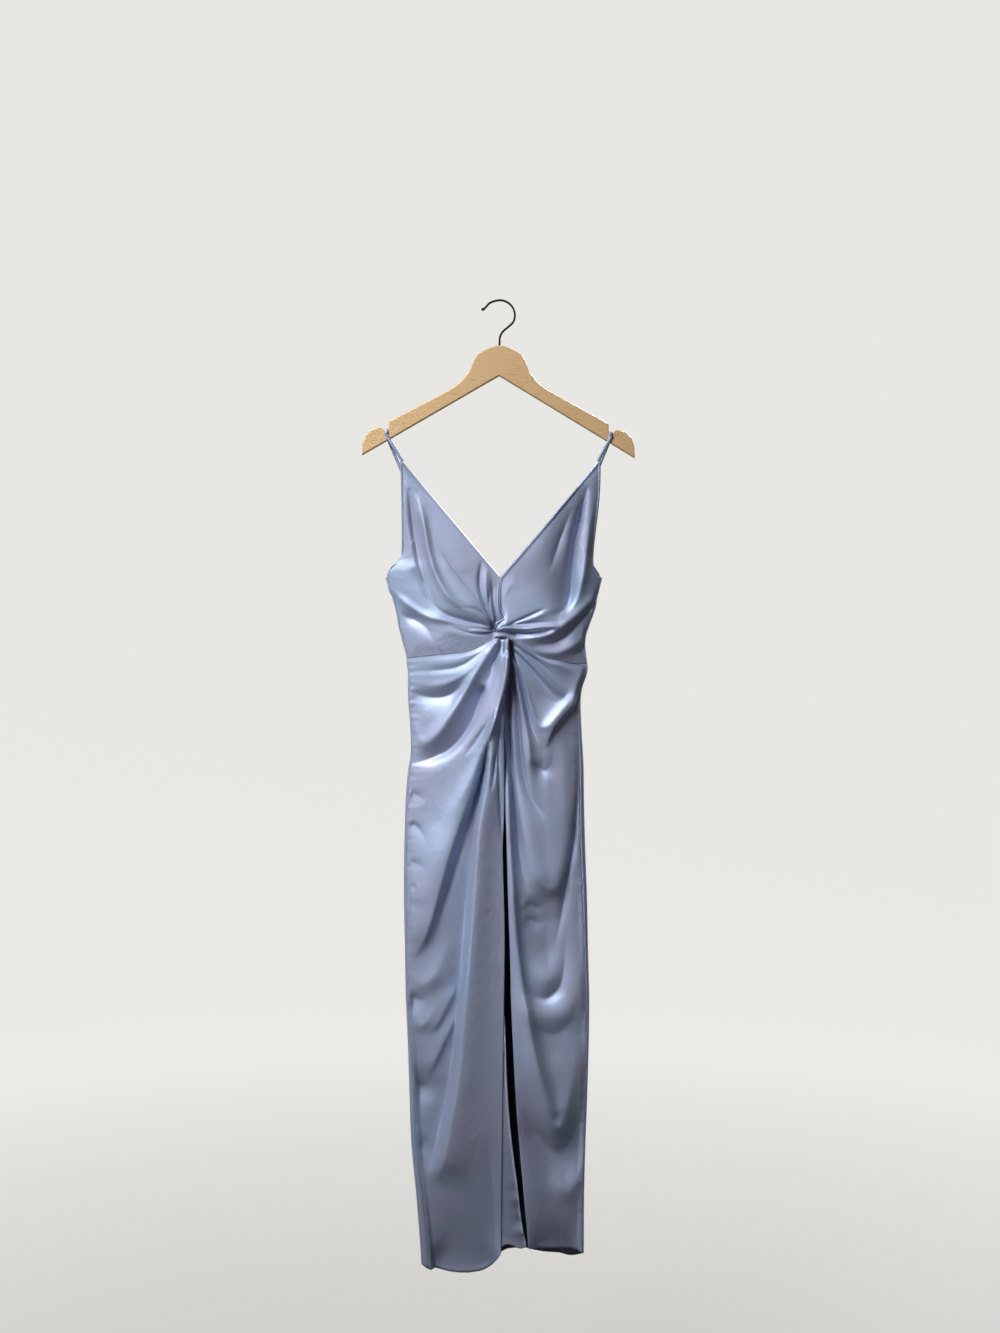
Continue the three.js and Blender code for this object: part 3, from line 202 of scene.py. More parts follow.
def new_group(name, inputs, outputs):
    """Empty shader group with the named sockets, as name: kind, and its two end nodes."""
    group = bpy.data.node_groups.new(name, "ShaderNodeTree")
    for socket, (kind, value) in inputs.items():
        made = group.interface.new_socket(socket, in_out="INPUT", socket_type="NodeSocket" + kind)
        if value is not None:
            made.default_value = value
    for socket, kind in outputs.items():
        group.interface.new_socket(socket, in_out="OUTPUT", socket_type="NodeSocket" + kind)
    return group, group.nodes.new("NodeGroupInput"), group.nodes.new("NodeGroupOutput")


weave, given, gives = new_group(
    "satin weave",
    {"Cut": ("Vector", None), "Threads": ("Float", THREADS_PER_METRE), "Creasing": ("Float", 1.0)},
    {"Mauve": "Float", "Height": "Float", "Dullness": "Float"})
long_threads = add_node(weave, "VectorMath", {0: given.outputs["Cut"], 1: (1.0, FLOAT_STRETCH, 1.0)},
                        operation="MULTIPLY")
threads = add_node(weave, "TexNoise", {
    "Vector": long_threads.outputs[0], "Scale": given.outputs["Threads"], "Detail": 1.0, "Roughness": 0.5})
handling = add_node(weave, "TexNoise", {
    "Vector": given.outputs["Cut"], "Scale": 34.0, "Detail": 3.0, "Roughness": 0.45, "Distortion": 0.6})
patches = add_node(weave, "TexNoise", {"Vector": given.outputs["Cut"], "Scale": 7.0, "Detail": 2.0})
thread_height = add_node(weave, "Math", {0: threads.outputs[0], 1: THREAD_HEIGHT}, operation="MULTIPLY")
crease_height = add_node(weave, "Math", {0: handling.outputs[0], 1: given.outputs["Creasing"]},
                         operation="MULTIPLY")
crease_metres = add_node(weave, "Math", {
    0: crease_height.outputs[0], 1: CREASE_HEIGHT, 2: thread_height.outputs[0]}, operation="MULTIPLY_ADD")
mauve = add_node(weave, "MapRange", {"Value": patches.outputs[0], "From Min": 0.35, "From Max": 0.65})
dull = add_node(weave, "MapRange", {"Value": threads.outputs[0], "To Min": -0.05, "To Max": 0.05})
for socket, source in (("Mauve", mauve), ("Height", crease_metres), ("Dullness", dull)):
    weave.links.new(source.outputs[0], gives.inputs[socket])


def satin(name, light, dark, roughness, metal, sheen):
    """Material of one side of the cloth."""
    made = bpy.data.materials.new(name)
    made.use_nodes = True
    face = made.node_tree.nodes["Principled BSDF"]
    cut = add_node(made, "UVMap", uv_map="cut")
    woven = add_node(made, "Group", node_tree=weave)
    made.node_tree.links.new(cut.outputs[0], woven.inputs["Cut"])
    colour = add_node(made, "Mix", {"Factor": woven.outputs["Mauve"], 6: light, 7: dark}, data_type="RGBA")
    rough = add_node(made, "Math", {0: woven.outputs["Dullness"], 1: roughness}, operation="ADD")
    bump = add_node(made, "Bump", {"Height": woven.outputs["Height"], "Distance": 1.0, "Strength": 1.0})
    made.node_tree.links.new(colour.outputs[2], face.inputs["Base Color"])
    made.node_tree.links.new(rough.outputs[0], face.inputs["Roughness"])
    made.node_tree.links.new(bump.outputs[0], face.inputs["Normal"])
    face.inputs["Metallic"].default_value = metal
    face.inputs["Sheen Weight"].default_value = sheen
    face.inputs["Sheen Roughness"].default_value = 0.35
    face.inputs["Sheen Tint"].default_value = (0.80, 0.70, 0.86, 1.0)
    return made


satin_face = satin("satin face", FACE_COLOUR, FACE_MAUVE, 0.56, 0.52, 0.06)
# The reverse's darkness is partly its dull wrong side and partly painted shade for the inside seen through
# the slit.
satin_reverse_and_shade = satin("satin reverse and painted shade", REVERSE_COLOUR_AND_SHADE, REVERSE_COLOUR_AND_SHADE, 0.75, 0.0, 0.1)

# The dress is cut as two cups, a back bodice, two front skirts and a back skirt. The two side seams run
# down a few millimetres inside its outline, because the back wraps round to the front.
SIDE_DEPTH = 0.004
BACK_DEPTH = -0.020
WALL = 0.0015
SEAM_GAP = 0.0003
CURVED_SEAM_GAP = 0.0005
STRAP_POINT_Z = -0.262
UNDERARM_Z = -0.450
SLIT_TOP_Z = -0.5495
# Height of the front's middle line
MIDDLE_DEPTH = np.array([
    # z, depth
    (-0.450, 0.022), (-0.535, 0.025), (-0.620, 0.025), (-0.760, 0.023), (-1.100, 0.020), (-1.590, 0.018)])
OUTLINE = np.array([
    # z, left, right
    (-0.450, -0.187, 0.1675), (-0.458, -0.1845, 0.165), (-0.471, -0.1815, 0.162), (-0.483, -0.176, 0.159),
    (-0.496, -0.172, 0.157), (-0.512, -0.1685, 0.152), (-0.528, -0.166, 0.146), (-0.544, -0.162, 0.141),
    (-0.560, -0.158, 0.1395), (-0.576, -0.1535, 0.141), (-0.590, -0.1525, 0.143), (-0.600, -0.151, 0.1435),
    (-0.612, -0.1505, 0.1405), (-0.630, -0.1505, 0.1345), (-0.650, -0.150, 0.132), (-0.698, -0.1465, 0.1335),
    (-0.739, -0.146, 0.136), (-0.763, -0.150, 0.137), (-0.811, -0.154, 0.1375), (-0.892, -0.1565, 0.1395),
    (-0.973, -0.157, 0.1425), (-1.054, -0.1555, 0.144), (-1.135, -0.154, 0.146), (-1.216, -0.1505, 0.145),
    (-1.297, -0.148, 0.1425), (-1.378, -0.145, 0.1395), (-1.459, -0.1375, 0.1375), (-1.540, -0.131, 0.137),
    (-1.590, -0.128, 0.136)])
SEAM_INSET = np.array([
    # z, left, right
    (-0.450, 0.003, 0.003), (-0.620, 0.003, 0.0035), (-0.700, 0.003, 0.006), (-0.800, 0.0045, 0.008),
    (-0.973, 0.005, 0.008), (-1.135, 0.005, 0.006), (-1.300, 0.009, 0.004), (-1.590, 0.015, 0.0035)])
LEFT_WAIST = np.array([
    # x, z
    (-0.150, -0.5815), (-0.113, -0.5775), (-0.073, -0.5735), (-0.048, -0.569), (-0.030, -0.561),
    (-0.016, -0.5535), (-0.006, -0.5488), (0.003, -0.5455), (0.015, -0.5470)])
RIGHT_WAIST = np.array([
    # x, z
    (-0.011, -0.5465), (0.0, -0.5475), (0.012, -0.549), (0.032, -0.560), (0.049, -0.570), (0.073, -0.581),
    (0.097, -0.585), (0.113, -0.5895), (0.142, -0.592)])


def read(table, column, at):
    """Value at each place along a table, on Hermite curves through its rows. The slope at a row is that from
    the row before it to the row after it."""
    rows = table[np.argsort(table[:, 0])]
    places, values = rows[:, 0], rows[:, column]
    around = np.arange(len(rows))
    before, after = np.maximum(around - 1, 0), np.minimum(around + 1, len(rows) - 1)
    slopes = (values[after] - values[before]) / (places[after] - places[before])
    n = np.clip(np.searchsorted(places, at, side="right") - 1, 0, len(rows) - 2)
    span = places[n + 1] - places[n]
    t = np.clip((at - places[n]) / span, 0, 1)
    level = (1 + 2 * t) * (1 - t) ** 2 * values[n] + t * t * (3 - 2 * t) * values[n + 1]
    return level + span * (t * (1 - t) ** 2 * slopes[n] - t * t * (1 - t) * slopes[n + 1])


def left_seam(z):
    return read(OUTLINE, 1, z) + read(SEAM_INSET, 1, z)


def right_seam(z):
    return read(OUTLINE, 2, z) - read(SEAM_INSET, 2, z)


def left_waist(x):
    return read(LEFT_WAIST, 1, x)


def right_waist(x):
    return read(RIGHT_WAIST, 1, x)


def blend(a, b, share):
    return a + (b - a) * share


def smooth_step(value, low, high):
    t = np.clip((value - low) / (high - low), 0, 1)
    return t * t * (3 - 2 * t)


def front_depth(x, z):
    """Level across the middle and falling to the side seams by the cube of the share of the way out."""
    middle = (left_seam(z) + right_seam(z)) / 2
    half = (right_seam(z) - left_seam(z)) / 2
    out = np.minimum(np.abs(x - middle) / half, 1)
    return SIDE_DEPTH + (read(MIDDLE_DEPTH, 1, z) - SIDE_DEPTH) * (1 - out ** 3)


def smooth_line(marks, steps):
    """Points shared evenly over the Catmull-Rom curve through the marks. The slope at a mark is half the way
    from the mark before it to the mark after it."""
    marks = np.asarray(marks, float)
    padded = np.concatenate((marks[:1], marks, marks[-1:]))
    at = np.linspace(0, len(marks) - 1, steps + 1)
    n = np.minimum(at.astype(int), len(marks) - 2)
    t = (at - n)[:, None]
    a, b, c, d = (padded[n + k] for k in range(4))
    bend = 2 * a - 5 * b + 4 * c - d
    twist = 3 * b - a - 3 * c + d
    return 0.5 * (2 * b + (c - a) * t + bend * t ** 2 + twist * t ** 3)


def along_curve(marks, share, steps=400):
    """Points at shares of the length of the smooth curve through the marks."""
    line = smooth_line(marks, steps)
    reached = np.concatenate(([0], np.cumsum(np.linalg.norm(np.diff(line, axis=0), axis=1))))
    columns = [np.interp(share, reached / reached[-1], line[:, k]) for k in range(line.shape[1])]
    return np.stack(columns, axis=-1)


EVEN = (1, 1)
FOLD_STEPS = 40
FOLD_REACH = 5.0
ON_THE_LINE = 0.00002
BROAD = 0.016
RIDGE_POWER = 1.9
FURROW_POWER = 1.25


def folded(folds, x, z):
    """Sum of the folds' depths: height times exp(-(distance from the line / width)^power). The width differs
    on the two sides of the way a fold runs, and its height rises and dies away over shares of its length.
    Distance, width and height are means over the line's steps, weighed by distance^-6, so a bend's inside is
    smooth. A ridge or a broad hollow is round, and a furrow has a sharp floor between swelling sides."""
    total = np.zeros_like(x)
    for _, height, (wide_start, wide_end), (rise, fall), (left, right), marks in folds:
        line = smooth_line(marks, FOLD_STEPS)
        reach = FOLD_REACH * max(wide_start, wide_end) * max(left, right)
        near = ((x > line[:, 0].min() - reach) & (x < line[:, 0].max() + reach)
                & (z > line[:, 1].min() - reach) & (z < line[:, 1].max() + reach))
        px, pz = x[near], z[near]
        weights, widths, heights = np.zeros((3, len(px)))
        for n in range(FOLD_STEPS):
            (ax, az), (rx, rz) = line[n], line[n + 1] - line[n]
            t = np.clip(((px - ax) * rx + (pz - az) * rz) / (rx * rx + rz * rz), 0, 1)
            square = (px - ax - t * rx) ** 2 + (pz - az - t * rz) ** 2 + ON_THE_LINE ** 2
            weight = 1 / square ** 3
            place = (n + t) / FOLD_STEPS
            side = np.where(rx * (pz - az) > rz * (px - ax), left, right)
            weights += weight
            widths += weight * side * blend(wide_start, wide_end, place)
            heights += weight * smooth_step(place, 0, rise) * smooth_step(1 - place, 0, fall)
        away = weights ** (-1 / 6)
        power = RIDGE_POWER if height > 0 or wide_end > BROAD else FURROW_POWER
        total[near] += height * heights / weights * np.exp(-(away * weights / widths) ** power)
    return total


# Folds lie flat along the seams and rise over this far. A cup's neck edge lets a part of them through.
HELD_AT_SEAM = 0.009
LOOSE_AT_NECK = 0.003


def freed(distance):
    return smooth_step(distance, 0, HELD_AT_SEAM)


def uneven(way, lengths, starts):
    """Sum of sine waves of a few lengths along a way, between -1 and 1, that doesn't look regular."""
    waves = [np.sin(2 * np.pi * (way / length + start)) for length, start in zip(lengths, starts)]
    return sum(waves) / len(waves)


def map_cut(piece, pattern):
    """Gives each vertex its place on the cut cloth, in metres."""
    cut = piece.data.uv_layers.new(name="cut")
    corners = np.zeros(len(piece.data.loops), dtype=np.int32)
    piece.data.loops.foreach_get("vertex_index", corners)
    cut.data.foreach_set("uv", pattern[corners].ravel())


def cloth(name, points, facing, node):
    """Sheet of cloth over a grid of points, its face towards facing on Y and its thickness behind it.
    Its cut map is the way across and down the grid."""
    step_across = np.linalg.norm(np.diff(points, axis=1), axis=2)
    step_down = np.linalg.norm(np.diff(points, axis=0), axis=2)
    way_across = np.pad(np.cumsum(step_across, axis=1), ((0, 0), (1, 0)))
    way_down = np.pad(np.cumsum(step_down, axis=0), ((1, 0), (0, 0)))
    outward = np.cross(points[1:, :-1] - points[:-1, :-1], points[:-1, 1:] - points[:-1, :-1])[..., 1].mean()
    piece = shell(name, points, flip=outward * facing < 0)
    map_cut(piece, np.stack((way_across, way_down), axis=-1).reshape(-1, 2))
    # The inner side gets the reverse, painted dark as shade.
    for side in (satin_face, satin_reverse_and_shade):
        piece.data.materials.append(side)
    thick = piece.modifiers.new("cloth", "SOLIDIFY")
    thick.thickness = CLOTH
    thick.offset = -1
    thick.material_offset = 1
    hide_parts(node)
    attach(piece, "root")
    return piece


# The two cups are cut as triangles of doubled cloth, gathered into the twist under the bust. The right one
# is drawn across in front, and the left one goes in under it. Each hangs from its strap.
STRAP_POINT_DEPTH = 0.0085
CUP_FULLNESS = 0.006
CUP_FALL = 2.2
CUP_ENDS_FROM = -0.40
CUP_ENDS_OVER = 0.09
TWIST = (-0.002, -0.537)
TWIST_SPREAD = 0.017
PIT = (-0.0095, -0.5385)
PIT_DEEP = 0.009
PIT_SPREAD = 0.0065
NECK_SHARE = 16 / 24
ARMHOLE_SHARE = 7 / 24
SIDE_SHARE = 13 / 24
EDGE_ROLL = 0.0012
EDGE_ROLL_WIDTH = 0.0022
CUP_PUCKER = 0.0004
CUP_PUCKER_WAVES = (0.013, 0.0071, 0.0193)
PUCKER_REACH = 0.008
LEFT_CUP = {
    "neck": [(-0.1585, STRAP_POINT_Z), (-0.081, -0.353), (-0.0002, UNDERARM_Z)],
    "centre": [(-0.0002, UNDERARM_Z), (-0.002, -0.488), (0.0, -0.506), (0.0045, -0.515), (0.002, -0.521),
               (-0.004, -0.526)],
    "armhole": [(-0.163, STRAP_POINT_Z), (-0.161, -0.292), (-0.160, -0.358), (-0.1605, -0.413),
                (-0.165, -0.426), (-0.180, -0.438), (-0.184, UNDERARM_Z)],
    "seam": left_seam, "waist": left_waist, "end_x": -0.007, "twist": -0.007,
}
RIGHT_CUP = {
    "neck": [(0.159, STRAP_POINT_Z), (0.081, -0.356), (0.0002, UNDERARM_Z)],
    "centre": [(0.0002, UNDERARM_Z), (-0.0015, -0.488), (0.001, -0.506), (0.0055, -0.5155), (0.0, -0.520),
               (-0.007, -0.524)],
    "armhole": [(0.1635, STRAP_POINT_Z), (0.163, -0.300), (0.160, -0.340), (0.156, -0.374),
                (0.1525, -0.409), (0.1525, -0.430), (0.1575, -0.440), (0.1645, UNDERARM_Z)],
    "seam": right_seam, "waist": right_waist, "end_x": -0.0105, "twist": 0.010,
}
# Each fold is its name, height, widths at its start and end, the shares of its length in which it rises
# and dies away, its widths' shares to the left and right of its way, and the marks of its line.
LEFT_CUP_FOLDS = [
    ("strap roll", 0.004, (0.007, 0.008), (0.3, 0.35), EVEN,
     [(-0.157, -0.285), (-0.149, -0.358), (-0.139, -0.415), (-0.12, -0.471), (-0.096, -0.505),
      (-0.052, -0.525)]),
    ("inner furrow", -0.010, (0.006, 0.010), (0.3, 0.35), (1.3, 1),
     [(-0.149, -0.3), (-0.144, -0.35), (-0.137, -0.4), (-0.127, -0.445), (-0.11, -0.482),
      (-0.088, -0.505)]),
    ("inner roll", 0.0055, (0.0055, 0.006), (0.25, 0.35), EVEN,
     [(-0.134, -0.313), (-0.123, -0.366), (-0.112, -0.423), (-0.091, -0.471), (-0.063, -0.497),
      (-0.026, -0.515)]),
    ("fine crease", -0.0024, (0.003, 0.0022), (0.4, 0.25), EVEN,
     [(-0.104, -0.39), (-0.081, -0.428), (-0.047, -0.471), (-0.015, -0.51)]),
    ("under furrow", -0.0075, (0.007, 0.004), (0.4, 0.3), (1, 1.3),
     [(-0.141, -0.433), (-0.134, -0.4495), (-0.114, -0.485), (-0.09, -0.509), (-0.054, -0.5215),
      (-0.023, -0.5285), (-0.0125, -0.5355)]),
    ("lower roll", 0.0045, (0.007, 0.004), (0.3, 0.35), (0.8, 1),
     [(-0.18, -0.47), (-0.16, -0.486), (-0.139, -0.502), (-0.117, -0.514), (-0.081, -0.522),
      (-0.026, -0.533)]),
    ("waist furrow", -0.0075, (0.008, 0.009), (0.3, 0.6), (1.6, 1.0),
     [(-0.164, -0.508), (-0.144, -0.517), (-0.125, -0.528), (-0.111, -0.546), (-0.106, -0.562)]),
    ("belly", 0.0015, (0.007, 0.003), (0.4, 0.2), EVEN,
     [(-0.091, -0.533), (-0.065, -0.543), (-0.029, -0.543)]),
    ("gather one", -0.0035, (0.0022, 0.002), (0.4, 0.05), EVEN,
     [(-0.078, -0.532), (-0.046, -0.542), (-0.026, -0.5425), (-0.0105, -0.539)]),
    ("gather two", 0.0025, (0.002, 0.0016), (0.4, 0.05), EVEN,
     [(-0.049, -0.535), (-0.032, -0.538), (-0.011, -0.5385)]),
    ("gather three", -0.0025, (0.002, 0.0016), (0.4, 0.05), EVEN,
     [(-0.052, -0.5325), (-0.034, -0.534), (-0.0105, -0.5375)]),
    ("gather four", -0.003, (0.0026, 0.0018), (0.5, 0.05), EVEN,
     [(-0.0895, -0.502), (-0.051, -0.5005), (-0.028, -0.5095), (-0.0145, -0.5305), (-0.0105, -0.5365)]),
    ("seam furrow", -0.005, (0.003, 0.0022), (0.25, 0.05), (1.2, 0.7),
     [(-0.030, -0.420), (-0.0335, -0.457), (-0.0285, -0.485), (-0.0125, -0.527), (-0.010, -0.537)]),
    ("seam roll", 0.0025, (0.004, 0.0024), (0.5, 0.05), EVEN,
     [(-0.021, -0.433), (-0.023, -0.468), (-0.010, -0.523)]),
    ("centre furrow", -0.004, (0.0024, 0.002), (0.2, 0.05), EVEN,
     [(-0.013, -0.45), (-0.011, -0.488), (-0.0065, -0.515), (-0.009, -0.536)]),
    ("centre line", -0.003, (0.0018, 0.0016), (0.3, 0.05), EVEN,
     [(-0.017, -0.47), (-0.0175, -0.50), (-0.0105, -0.536)]),
]
RIGHT_CUP_FOLDS = [
    ("deep furrow", -0.019, (0.006, 0.012), (0.25, 0.35), (0.7, 2.1),
     [(0.144, -0.295), (0.133, -0.342), (0.123, -0.39), (0.117, -0.439), (0.115, -0.475),
      (0.105, -0.501), (0.078, -0.518)]),
    ("strap roll", 0.005, (0.006, 0.007), (0.4, 0.5), EVEN,
     [(0.156, -0.309), (0.147, -0.358), (0.141, -0.407), (0.134, -0.452), (0.123, -0.488),
      (0.102, -0.512), (0.065, -0.525)]),
    ("inner roll", 0.0035, (0.007, 0.009), (0.4, 0.45), EVEN,
     [(0.134, -0.313), (0.118, -0.361), (0.109, -0.407), (0.1, -0.458)]),
    ("inner furrow", -0.0045, (0.006, 0.008), (0.4, 0.45), EVEN,
     [(0.118, -0.334), (0.1, -0.382), (0.089, -0.415), (0.076, -0.449)]),
    ("pinch roll", 0.0045, (0.0022, 0.004), (0.05, 0.15), EVEN,
     [(-0.009, -0.5375), (0.012, -0.533), (0.041, -0.5345), (0.073, -0.531), (0.097, -0.531)]),
    ("pinch furrow", -0.0065, (0.0022, 0.0026), (0.1, 0.25), (0.6, 1.2),
     [(-0.009, -0.5385), (0.021, -0.5405), (0.049, -0.5405), (0.073, -0.538), (0.095, -0.532)]),
    ("glint crease", -0.0055, (0.002, 0.003), (0.05, 0.35), (0.8, 1.3),
     [(-0.009, -0.538), (0.0015, -0.5365), (0.026, -0.5225), (0.0535, -0.511), (0.078, -0.499)]),
    ("pinch line one", -0.0035, (0.0016, 0.0025), (0.05, 0.4), EVEN,
     [(-0.009, -0.538), (0.01, -0.529), (0.034, -0.5265), (0.060, -0.5245), (0.085, -0.523)]),
    ("pinch line two", -0.003, (0.0016, 0.0022), (0.05, 0.4), EVEN,
     [(-0.009, -0.5385), (0.008, -0.5375), (0.030, -0.5455), (0.055, -0.5475)]),
    ("short crease", -0.003, (0.0016, 0.002), (0.05, 0.4), EVEN,
     [(-0.009, -0.537), (-0.002, -0.528), (0.006, -0.517)]),
    ("glint roll", 0.003, (0.003, 0.006), (0.1, 0.5), (1, 0.8),
     [(0.004, -0.533), (0.03, -0.5235), (0.062, -0.513), (0.1, -0.497)]),
    ("side roll", 0.007, (0.009, 0.006), (0.35, 0.25), EVEN,
     [(0.164, -0.463), (0.143, -0.494), (0.11, -0.523), (0.07, -0.546), (0.023, -0.548)]),
    ("side furrow", -0.0065, (0.006, 0.004), (0.15, 0.4), EVEN,
     [(0.157, -0.492), (0.138, -0.51), (0.117, -0.536), (0.091, -0.556), (0.055, -0.561)]),
    ("waist puff", 0.005, (0.009, 0.006), (0.3, 0.35), EVEN,
     [(0.149, -0.52), (0.131, -0.552), (0.091, -0.573), (0.052, -0.565)]),
    ("waist dent", -0.003, (0.006, 0.005), (0.2, 0.4), EVEN,
     [(0.149, -0.552), (0.134, -0.569), (0.113, -0.578)]),
    ("centre crease", -0.0025, (0.002, 0.002), (0.3, 0.1), EVEN,
     [(0, -0.455), (0.002, -0.488), (0.005, -0.517)]),
    ("dimple", 0.0012, (0.008, 0.005), (0.5, 0.4), EVEN,
     [(0.029, -0.452), (0.011, -0.471), (0.003, -0.494)]),
]


def meeting(line_x, edge_z, start):
    """Height at which a line down the cloth, given by its x at each height, meets an edge."""
    z = start
    for _ in range(8):
        z = edge_z(line_x(z))
    return z


def cup_depth(x, z, neck, armhole):
    """From the neck edge to the armhole edge at each height the cup falls back by a power of the share
    of the way. Its two edges start together at the strap point, and at the underarm it goes over into the
    front's depth."""
    neck_line, armhole_line = smooth_line(neck, 100)[::-1], smooth_line(armhole, 100)[::-1]
    neck_x = np.interp(z, neck_line[:, 1], neck_line[:, 0])
    armhole_x = np.interp(z, armhole_line[:, 1], armhole_line[:, 0])
    out = np.clip((x - neck_x) / (armhole_x - neck_x), 0, 1)
    fallen = smooth_step(STRAP_POINT_Z - z, 0, STRAP_POINT_Z - UNDERARM_Z)
    neck_depth = blend(STRAP_POINT_DEPTH, MIDDLE_DEPTH[0, 1], fallen)
    armhole_depth = blend(STRAP_POINT_DEPTH, SIDE_DEPTH, fallen)
    cup_above = blend(neck_depth, armhole_depth, out ** CUP_FALL)
    return blend(cup_above, front_depth(x, z), smooth_step(CUP_ENDS_FROM - z, 0, CUP_ENDS_OVER))


def cup(down, across, neck, centre, armhole, seam, waist, end_x, twist, folds):
    """Straight across from the neck and centre edge to the armhole, side and waist edge, at the cup's depth.
    To that come a swell in the middle, a lift and a pit at the twist, rolled and puckered edges, and the
    folds."""
    inner = np.where(
        (down < NECK_SHARE)[..., None],
        along_curve(neck, np.clip(down / NECK_SHARE, 0, 1)),
        along_curve(centre, np.clip((down - NECK_SHARE) / (1 - NECK_SHARE), 0, 1)))
    foot_z = meeting(seam, waist, np.float64(UNDERARM_Z))
    side_z = blend(UNDERARM_Z, foot_z, np.clip((down - ARMHOLE_SHARE) / (SIDE_SHARE - ARMHOLE_SHARE), 0, 1))
    waist_x = blend(seam(foot_z), end_x, np.clip((down - SIDE_SHARE) / (1 - SIDE_SHARE), 0, 1))
    outer = np.where(
        (down < ARMHOLE_SHARE)[..., None],
        along_curve(armhole, np.clip(down / ARMHOLE_SHARE, 0, 1)),
        np.where((down < SIDE_SHARE)[..., None],
                 np.stack((seam(side_z), side_z), axis=-1),
                 np.stack((waist_x, waist(waist_x)), axis=-1)))

    x, z = np.moveaxis(blend(inner, outer, across[..., None]), -1, 0)
    hung = cup_depth(x, z, neck, armhole)
    full = CUP_FULLNESS * np.sin(np.pi * across) * np.sin(np.pi * down)
    lifted = twist * np.exp(-(np.hypot(x - TWIST[0], z - TWIST[1]) / TWIST_SPREAD) ** 2)
    lifted = lifted - PIT_DEEP * np.exp(-np.hypot(x - PIT[0], z - PIT[1]) / PIT_SPREAD)
    width = np.linalg.norm(outer - inner, axis=-1)
    held = freed(width * (1 - across)) * freed(width * across + LOOSE_AT_NECK)
    from_edge = np.minimum(width * across, width * (1 - across) + (down > ARMHOLE_SHARE))
    roll = EDGE_ROLL * np.exp(-((from_edge - EDGE_ROLL_WIDTH) / EDGE_ROLL_WIDTH) ** 2)
    pucker = CUP_PUCKER * uneven(z + x, CUP_PUCKER_WAVES, (0.1, 0.6, 0.3))
    pucker = pucker * np.exp(-(width * (1 - across) / PUCKER_REACH)) * (down > ARMHOLE_SHARE)
    depth = hung + full + lifted + roll + pucker + held * folded(folds, x, z)
    return np.stack((x, -depth, z), axis=-1)


down, across = shares(240, 100)
left_points = cup(down, across, folds=LEFT_CUP_FOLDS, **LEFT_CUP)
left_cup = cloth("left_cup", left_points, -1, "front_bodice_left")
right_points = cup(down, across, folds=RIGHT_CUP_FOLDS, **RIGHT_CUP)
right_cup = cloth("right_cup", right_points, -1, "front_bodice_right")

# The two front skirts meet at the slit. Their tops are gathered into and under the twist, and from there the
# cloth falls in long swags to the side seams. The hems are narrow and rolled.
LEFT_SLIT = np.array([
    # z, x
    (-0.549, 0.0145), (-0.604, 0.0145), (-0.640, 0.009), (-0.700, 0.007), (-0.811, 0.007),
    (-0.892, 0.0045), (-1.022, 0.0075), (-1.135, 0.0065), (-1.378, 0.003), (-1.590, 0.001)])
RIGHT_SLIT = np.array([
    # z, x
    (-0.549, 0.004), (-0.620, 0.005), (-0.650, 0.0065), (-0.811, 0.0085), (-0.892, 0.011),
    (-0.973, 0.013), (-1.054, 0.016), (-1.135, 0.018), (-1.216, 0.0215), (-1.297, 0.026),
    (-1.378, 0.0325), (-1.459, 0.0395), (-1.540, 0.047)])
LEFT_HEM = np.array([
    # x, z
    (-0.132, -1.569), (-0.113, -1.5765), (-0.073, -1.5845), (-0.032, -1.581), (-0.013, -1.570),
    (0.0, -1.550), (0.005, -1.534)])
RIGHT_HEM = np.array([
    # x, z
    (0.040, -1.534), (0.073, -1.539), (0.113, -1.544), (0.138, -1.550)])
TUCK = np.array([
    # z, how deep the right skirt's slit edge is tucked back, or below how far it stands out, and how wide
    (-0.549, 0.005, 0.020), (-0.640, 0.004, 0.016), (-0.700, 0.003, 0.012), (-0.811, 0.002, 0.010),
    (-1.000, 0.004, 0.014), (-1.150, -0.002, 0.026), (-1.300, -0.009, 0.045), (-1.540, -0.011, 0.056)])
SKIRT_CROWDING = 1.4
KNOT_X = 0.002
KNOT_WIDE = 0.02
